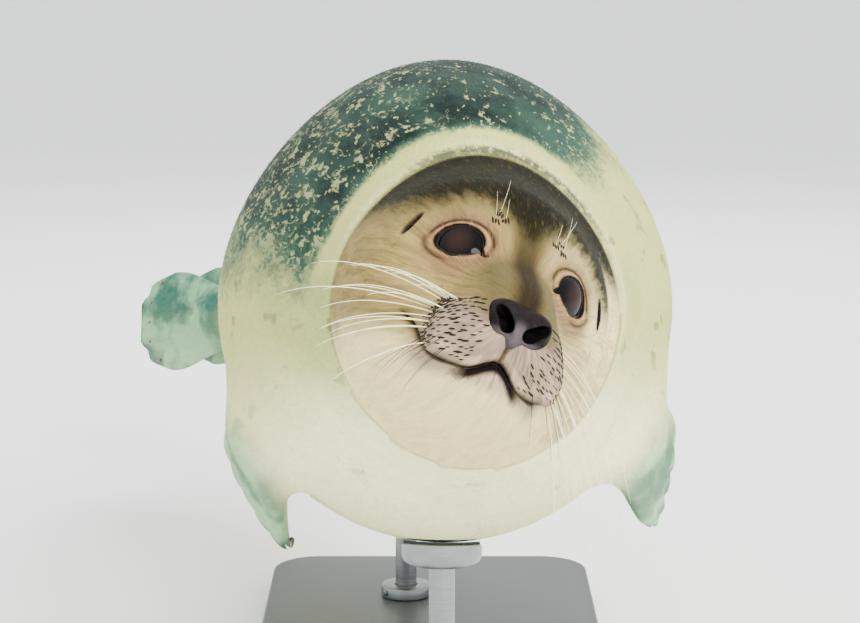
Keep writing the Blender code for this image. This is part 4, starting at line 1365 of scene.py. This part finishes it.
def noise(tree, place, scale, detail=3.0, rough=0.55, distortion=0.0):
    return put(tree, "TexNoise", Vector=place, Scale=scale, Detail=detail, Roughness=rough,
               Distortion=distortion).outputs["Fac"]


def step(tree, value, low, high):
    return put(tree, "MapRange", {"interpolation_type": "SMOOTHSTEP"}, Value=value, From_Min=low,
               From_Max=high).outputs["Result"]


def mix(tree, share, first, second, way="MIX"):
    kind = {"data_type": "RGBA", "blend_type": way}
    return put(tree, "Mix", kind, _0=share, _6=first, _7=second).outputs[2]


def split(tree, vector):
    return put(tree, "SeparateXYZ", Vector=vector).outputs


def dimmed(tree, tone, share):
    # the tone, with its brightness multiplied by a share
    grey = put(tree, "CombineColor", _0=share, _1=share, _2=share).outputs[0]
    return mix(tree, 1.0, tone, grey, "MULTIPLY")


def ownPlace(tree, stretch=(1, 1, 1)):
    # a place on the piece itself, drawn out along its axes
    return put(tree, "Mapping", Vector=put(tree, "TexCoord").outputs["Object"], Scale=stretch).outputs[0]


tones = {
    "side": colour(178, 178, 106), "belly": colour(244, 240, 184), "shade": colour(142, 158, 92),
    "slate": colour(14, 26, 24), "slatePale": colour(36, 52, 45), "teal": colour(52, 84, 68),
    "fleck": colour(146, 150, 104), "spot": colour(88, 90, 48), "cheek": colour(134, 114, 66),
    "chin": colour(222, 202, 144), "cap": colour(21, 18, 4), "capDark": colour(10, 8, 2),
    "capPale": colour(62, 58, 28), "stripe": colour(26, 18, 12), "patch": colour(108, 80, 56),
    "rim": colour(172, 130, 86), "muzzle": colour(148, 127, 110), "bridge": colour(74, 65, 40),
    "dark": colour(14, 9, 10), "line": colour(206, 202, 142), "band": colour(50, 64, 54),
    "flipper": colour(130, 172, 136), "flipperTeal": colour(46, 98, 82), "pit": colour(44, 30, 30),
}


def makeMarkings():
    # the coat's colour: shares say where each tone lies, and noise breaks their edges into flecks
    vectors = {name: "Vector" for name in ("Place", "Hair", "Body", "Head", "Face", "Neck", "Fold")}
    results = {"Color": "Color", "Height": "Float", "Roughness": "Float"}
    tree, given, wanted = newGroup("coatMarkings", vectors, results)

    def times(first, second):
        return reckon(tree, "MULTIPLY", first, second)

    def plus(first, second):
        return reckon(tree, "ADD", first, second)

    def less(first, second):
        return reckon(tree, "SUBTRACT", first, second)

    def most(first, second):
        return reckon(tree, "MAXIMUM", first, second)

    def patches(place, scale, low, high, detail=2.0, rough=0.5, distortion=0.0):
        return step(tree, noise(tree, place, scale, detail, rough, distortion), low, high)

    def over(share, under, tone):
        return mix(tree, share, under, tones[tone] if tone in tones else tone)

    place, hair = given["Place"], given["Hair"]
    drawn = put(tree, "Mapping", Vector=place, Scale=(1.0, 0.55, 1.0)).outputs[0]
    mantle, belly, flipper = split(tree, given["Body"])
    cap, stripe, head = split(tree, given["Head"])
    patch, muzzle, dark = split(tree, given["Face"])
    line, band, bridge = split(tree, given["Neck"])
    lipShade, rim, fold = split(tree, given["Fold"])
    fine = noise(tree, drawn, 190.0, 3.0, 0.65)
    broken = less(plus(times(noise(tree, drawn, 22.0, 4.0), 1.1), times(fine, 0.7)), 0.90)
    strands = noise(tree, hair, 620.0, 3.0, 0.6)
    locks = noise(tree, hair, 210.0, 2.0, 0.5)
    combed = step(tree, plus(times(strands, 0.5), times(locks, 0.5)), 0.36, 0.64)
    # the flank and the belly, with soft olive spots
    body = over(belly, tones["side"], "belly")
    body = over(times(patches(drawn, 9.0, 0.48, 0.72), less(0.8, times(belly, 0.7))), body, "shade")
    sideSpots = times(patches(drawn, 46.0, 0.635, 0.70, 2.0, 0.5, 0.4), less(0.55, times(belly, 0.5)))
    body = over(sideSpots, body, "spot")
    body = over(times(step(tree, plus(mantle, times(broken, 0.6)), 0.0, 0.60), 0.50), body, "teal")
    # the dark mantle, whose edge breaks into blotches
    back = over(patches(drawn, 30.0, 0.36, 0.66, 4.0, 0.6), tones["slate"], "slatePale")
    back = over(times(patches(drawn, 12.0, 0.46, 0.66, 3.0, 0.5), 0.34), back, "teal")
    back = over(step(tree, plus(mantle, times(broken, 0.6)), 1.0, 0.25), back, "teal")
    cover = step(tree, plus(mantle, times(broken, 1.0)), 0.16, 0.66)
    body = over(cover, body, back)
    rightward = step(tree, split(tree, place)[0], 0.03, -0.10)
    thin = plus(times(less(1.0, mantle), 0.08), times(rightward, 0.045))
    blots = step(tree, plus(noise(tree, drawn, 98.0, 3.0, 0.55, 0.25), thin), 0.630, 0.700)
    specks = step(tree, plus(noise(tree, drawn, 210.0, 1.5, 0.5, 0.2), thin), 0.660, 0.710)
    rings = reckon(tree, "ABSOLUTE", less(noise(tree, drawn, 48.0, 2.0, 0.5, 0.3), 0.55))
    rings = times(step(tree, rings, 0.020, 0.004), step(tree, fine, 0.42, 0.60))
    rings = times(rings, step(tree, thin, 0.0, 0.05))
    flecks = most(times(blots, 0.85), most(times(specks, 0.75), times(rings, 0.7)))
    body = over(times(flecks, cover), body, "fleck")
    # a pale line of painted highlight on the neck's roll, then a mottled band that is partly painted shade
    # in the ring's crease
    body = over(times(line, 0.75), body, "line")
    body = over(times(band, step(tree, plus(fine, times(band, 0.12)), 0.40, 0.62)), body, "band")
    # the face
    face = over(belly, tones["cheek"], "chin")
    # painted light: the face's side at plus x, towards the key lamp, is paler
    face = over(times(step(tree, split(tree, place)[0], 0.01, 0.10), 0.85), face, "chin")
    cheekSpots = times(patches(place, 95.0, 0.67, 0.74, 1.0, 0.5, 0.3), less(0.60, belly))
    face = over(cheekSpots, face, "spot")
    face = over(times(muzzle, 0.85), face, "muzzle")
    # darker patches over the muzzle, painted as the shade of the hair round the whisker pits
    face = over(times(times(muzzle, step(tree, locks, 0.48, 0.66)), 0.48), face, "pit")
    face = over(times(bridge, plus(0.70, times(combed, 0.25))), face, "bridge")
    face = over(times(patch, 0.8), face, "patch")
    face = over(times(stripe, plus(0.80, times(combed, 0.18))), face, "stripe")
    crown = over(combed, tones["capDark"], "cap")
    crown = over(times(step(tree, strands, 0.55, 0.74), 0.45), crown, "capPale")
    feathered = plus(plus(cap, times(broken, 0.40)), times(less(combed, 0.5), 0.26))
    face = over(times(step(tree, feathered, 0.05, 0.70), 0.65), face, "bridge")
    face = over(step(tree, feathered, 0.38, 0.92), face, crown)
    face = over(times(rim, 0.45), face, "rim")
    # painted shade in the folds round the eyes, broken by the hair's strands
    face = over(times(times(fold, 0.92), step(tree, strands, 0.10, 0.52)), face, "dark")
    # painted shadow under the upper lip, broken by noise
    face = over(times(lipShade, step(tree, plus(fine, times(lipShade, 0.38)), 0.46, 0.66)), face, "dark")
    whole = mix(tree, head, body, face)
    fin = over(patches(place, 17.0, 0.40, 0.60, 3.0, 0.5, 0.3), tones["flipper"], "flipperTeal")
    whole = over(times(flipper, 0.9), whole, fin)
    # the dark share: dark skin of lids, lips and ear slits, with painted shade in the mouth's groove, the
    # ear slits and the philtrum
    deep = put(tree, "Clamp", Value=times(dark, plus(0.85, times(fine, 0.35)))).outputs[0]
    whole = over(deep, whole, "dark")
    # the hair strands' light and dark, partly their own tone and partly painted sheen, strongest on the head
    contrast = times(head, less(1.0, times(belly, 0.75)))
    strandToneAndSheen = plus(less(0.94, times(contrast, 0.24)), times(combed, plus(0.12, times(contrast, 0.42))))
    tree.links.new(dimmed(tree, whole, strandToneAndSheen), wanted["Color"])
    tree.links.new(plus(strands, times(locks, 1.2)), wanted["Height"])
    tree.links.new(plus(0.44, times(strands, 0.30)), wanted["Roughness"])
    return tree


coatMarkings = makeMarkings()


def newMaterial(name, **fixed):
    material = bpy.data.materials.new(name)
    material.use_nodes = True
    tree = material.node_tree
    shader = tree.nodes["Principled BSDF"]
    feed(tree, shader, **fixed)
    return material, tree, shader


def attribute(tree, name, output="Vector"):
    return put(tree, "Attribute", {"attribute_name": name}).outputs[output]


def marked(tree):
    names = {"Place": "coatPlace", "Hair": "hairPlace", "Body": "zoneBody", "Head": "zoneHead",
             "Face": "zoneFace", "Neck": "zoneNeck", "Fold": "zoneFold"}
    places = {label: attribute(tree, name) for label, name in names.items()}
    return put(tree, "Group", {"node_tree": coatMarkings}, **places).outputs


def bump(tree, height, strength, distance):
    return put(tree, "Bump", Height=height, Strength=strength, Distance=distance).outputs[0]


def skinMaterial():
    material, tree, shader = newMaterial("coatSkin", Specular_IOR_Level=0.05)
    found = marked(tree)
    feed(tree, shader, Base_Color=found["Color"], Roughness=found["Roughness"],
         Normal=bump(tree, found["Height"], 0.75, 0.0009))
    return material


def tuftMaterial():
    # each tuft takes its root's tone, a little lighter or darker than its neighbours and paler to the tip
    material, tree, shader = newMaterial("coatTufts", Specular_IOR_Level=0.05)
    found = marked(tree)
    luck, tip, _ = split(tree, attribute(tree, "tuft"))
    bright = sway(tree, sway(tree, 0.94, 0.12, luck), 0.06, tip)
    feed(tree, shader, Base_Color=dimmed(tree, found["Color"], bright), Roughness=found["Roughness"])
    return material


def eyeMaterial():
    material, tree, shader = newMaterial("eyeGlass", Roughness=0.03, IOR=1.20)
    wave = reckon(tree, "SUBTRACT", noise(tree, ownPlace(tree), 260.0, 3.0), 0.5)
    reach = sway(tree, attribute(tree, "irisReach", "Fac"), 0.05, wave)
    tone = mix(tree, step(tree, reach, 0.06, 0.28), colour(34, 20, 16), colour(24, 14, 12))
    tone = mix(tree, step(tree, reach, 0.20, 0.40), tone, colour(5, 4, 5))
    # the glass is polished flatter than the ball, so its rim mirrors little of the room
    flat = put(tree, "VectorMath", {"operation": "ADD"}, _0=put(tree, "NewGeometry").outputs["Normal"],
               _1=attribute(tree, "gaze")).outputs[0]
    flat = put(tree, "VectorMath", {"operation": "NORMALIZE"}, _0=flat).outputs[0]
    feed(tree, shader, Base_Color=tone, Normal=flat)
    return material


def leatherMaterial(name, tone, pale, scale, wet, rough):
    # pebbled dark skin with painted shade in the cracks between pebbles, paler where the piece says so, and
    # painted black as shade in its hollows
    material, tree, shader = newMaterial(name, Coat_Weight=wet, Coat_Roughness=0.25, Specular_IOR_Level=0.03)
    place = ownPlace(tree)
    cells = put(tree, "TexVoronoi", {"feature": "DISTANCE_TO_EDGE"}, Vector=place, Scale=scale)
    pebbles = step(tree, cells.outputs["Distance"], 0.0, 0.16)
    light = sway(tree, reckon(tree, "MULTIPLY", attribute(tree, "pale", "Fac"), 0.50), 0.10,
                 noise(tree, place, 120.0, 3.0))
    shade = mix(tree, light, tone, pale)
    # painted shade in the cracks between the pebbles
    shade = mix(tree, pebbles, mix(tree, 0.35, shade, colour(10, 7, 8)), shade)
    # the nostrils painted black as shade
    shade = mix(tree, step(tree, attribute(tree, "depth", "Fac"), 0.30, 0.90), shade, colour(2, 1, 1))
    feed(tree, shader, Base_Color=shade, Roughness=sway(tree, rough, -0.10, pebbles),
         Normal=bump(tree, pebbles, 0.5, 0.0003))
    return material


def hornMaterial(name, rootTone, tipTone, rough):
    material, tree, shader = newMaterial(name, Coat_Weight=0.2, Coat_Roughness=0.2)
    streaks = noise(tree, ownPlace(tree, (1, 0.2, 1)), 900.0, 2.0)
    shade = mix(tree, attribute(tree, "along", "Fac"), rootTone, tipTone)
    shade = mix(tree, reckon(tree, "MULTIPLY", step(tree, streaks, 0.45, 0.7), 0.35), shade, tipTone)
    feed(tree, shader, Base_Color=shade, Roughness=sway(tree, rough, 0.2, streaks))
    return material


def plainMaterial(name, cloud, tones, rough, grain, relief, **fixed):
    # the tone and the roughness follow one noise, the relief another: scale, detail, sharpness, stretch
    material, tree, shader = newMaterial(name, **fixed)
    led, fine = (noise(tree, ownPlace(tree, stretch), *sizes) for *sizes, stretch in (cloud, grain))
    feed(tree, shader, Base_Color=mix(tree, led, *tones), Roughness=sway(tree, *rough, led),
         Normal=bump(tree, fine, *relief))
    return material


def dress(piece, material):
    piece.data.materials.clear()
    piece.data.materials.append(material)


dress(sealSkin, skinMaterial())
tufts = tuftMaterial()
for piece in coatPieces:
    dress(piece, tufts)
eyeGlass = eyeMaterial()
for piece in eyePieces:
    dress(piece, eyeGlass)
dress(noseLeather, leatherMaterial("noseSkin", colour(9, 6, 6), colour(104, 92, 98), 900.0, 0.02, 0.40))
darkSkin = leatherMaterial("darkSkin", colour(26, 18, 19), colour(40, 30, 30), 1400.0, 0.25, 0.45)
dress(lidEdges, darkSkin)
dress(whiskerPits, darkSkin)
dress(whiskers, hornMaterial("whiskerHair", colour(214, 204, 150), colour(240, 234, 196), 0.34))
dress(claws, hornMaterial("clawHorn", colour(84, 76, 62), colour(150, 138, 112), 0.36))
level = (1, 1, 1)
clouds, specks = (6.0, 3.0, 0.55, level), (900.0, 2.0, 0.55, level)
fibres, brushed = (1400.0, 3.0, 0.7, level), (1.0, 2.0, 0.55, (40, 40, 900))
dress(standBase, plainMaterial("standPaint", clouds, (colour(46, 48, 50), colour(62, 64, 66)), (0.36, 0.16),
                               specks, (0.25, 0.0003), Coat_Weight=0.15, Coat_Roughness=0.3))
dress(standFelts, plainMaterial("standFelt", fibres, (colour(34, 36, 38), colour(66, 68, 70)), (0.85, 0.12),
                                fibres, (0.8, 0.0005), Specular_IOR_Level=0.1))
steel = plainMaterial("standSteel", brushed, (colour(112, 114, 117), colour(150, 152, 155)), (0.24, 0.18),
                      brushed, (0.12, 0.0001), Metallic=1.0)
for piece in (standRods, standCollars, standScrews, standCups):
    dress(piece, steel)
print("materials set")


# a plain pale floor and soft studio light
studio = {"floor": 60.0, "aim": (0.0, -0.2, 0.42), "glow": 1.75,
          "lights": (("key", (1.7, -2.6, 2.3), 1.8, 260.0), ("catch", (0.16, -2.0, 1.95), 0.60, 20.0),
                     ("side", (-2.4, -2.2, 1.8), 2.4, 40.0), ("rim", (0.4, 2.6, 2.6), 2.2, 120.0))}


def makeStudio():
    bpy.ops.mesh.primitive_plane_add(size=studio["floor"], location=(0, 0, 0))
    floor = bpy.context.object
    floor.name = floor.data.name = "floor"
    material, tree, shader = newMaterial("floorPaint", Roughness=0.75)
    shade = noise(tree, ownPlace(tree), 3.0, 2.0)
    feed(tree, shader, Base_Color=mix(tree, shade, colour(238, 238, 236), colour(244, 244, 242)))
    dress(floor, material)
    for name, place, size, power in studio["lights"]:
        lamp = bpy.data.lights.new(name, "AREA")
        lamp.shape, lamp.size, lamp.energy = "DISK", size, power
        holder = bpy.data.objects.new(name, lamp)
        bpy.context.scene.collection.objects.link(holder)
        holder.location = place
        holder.visible_glossy = name == "catch"      # one small light in the eyes
        holder.rotation_euler = (Vector(studio["aim"]) - Vector(place)).to_track_quat("-Z", "Y").to_euler()
    world = bpy.data.worlds.new("studio")
    world.use_nodes = True
    ground = world.node_tree.nodes["Background"]
    ground.inputs["Color"].default_value = (0.94, 1.0, 0.98, 1.0)
    ground.inputs["Strength"].default_value = studio["glow"]
    bpy.context.scene.world = world


def makeCamera():
    # level with the head and in line with the body, looking down by as much as the nose is up
    eyeFrom = {"place": (0.0, -1.6, 0.0), "sensor": 36.0, "lens": 100.465}
    data = bpy.data.cameras.new("camera")
    camera = bpy.data.objects.new("camera", data)
    bpy.context.scene.collection.objects.link(camera)
    data.sensor_width, data.lens = eyeFrom["sensor"], eyeFrom["lens"]
    camera.location = toWorld(np.array([eyeFrom["place"]]))[0]
    camera.rotation_euler = (math.radians(90 - pose["noseUp"]), 0, 0)
    bpy.context.scene.camera = camera


makeStudio()
makeCamera()
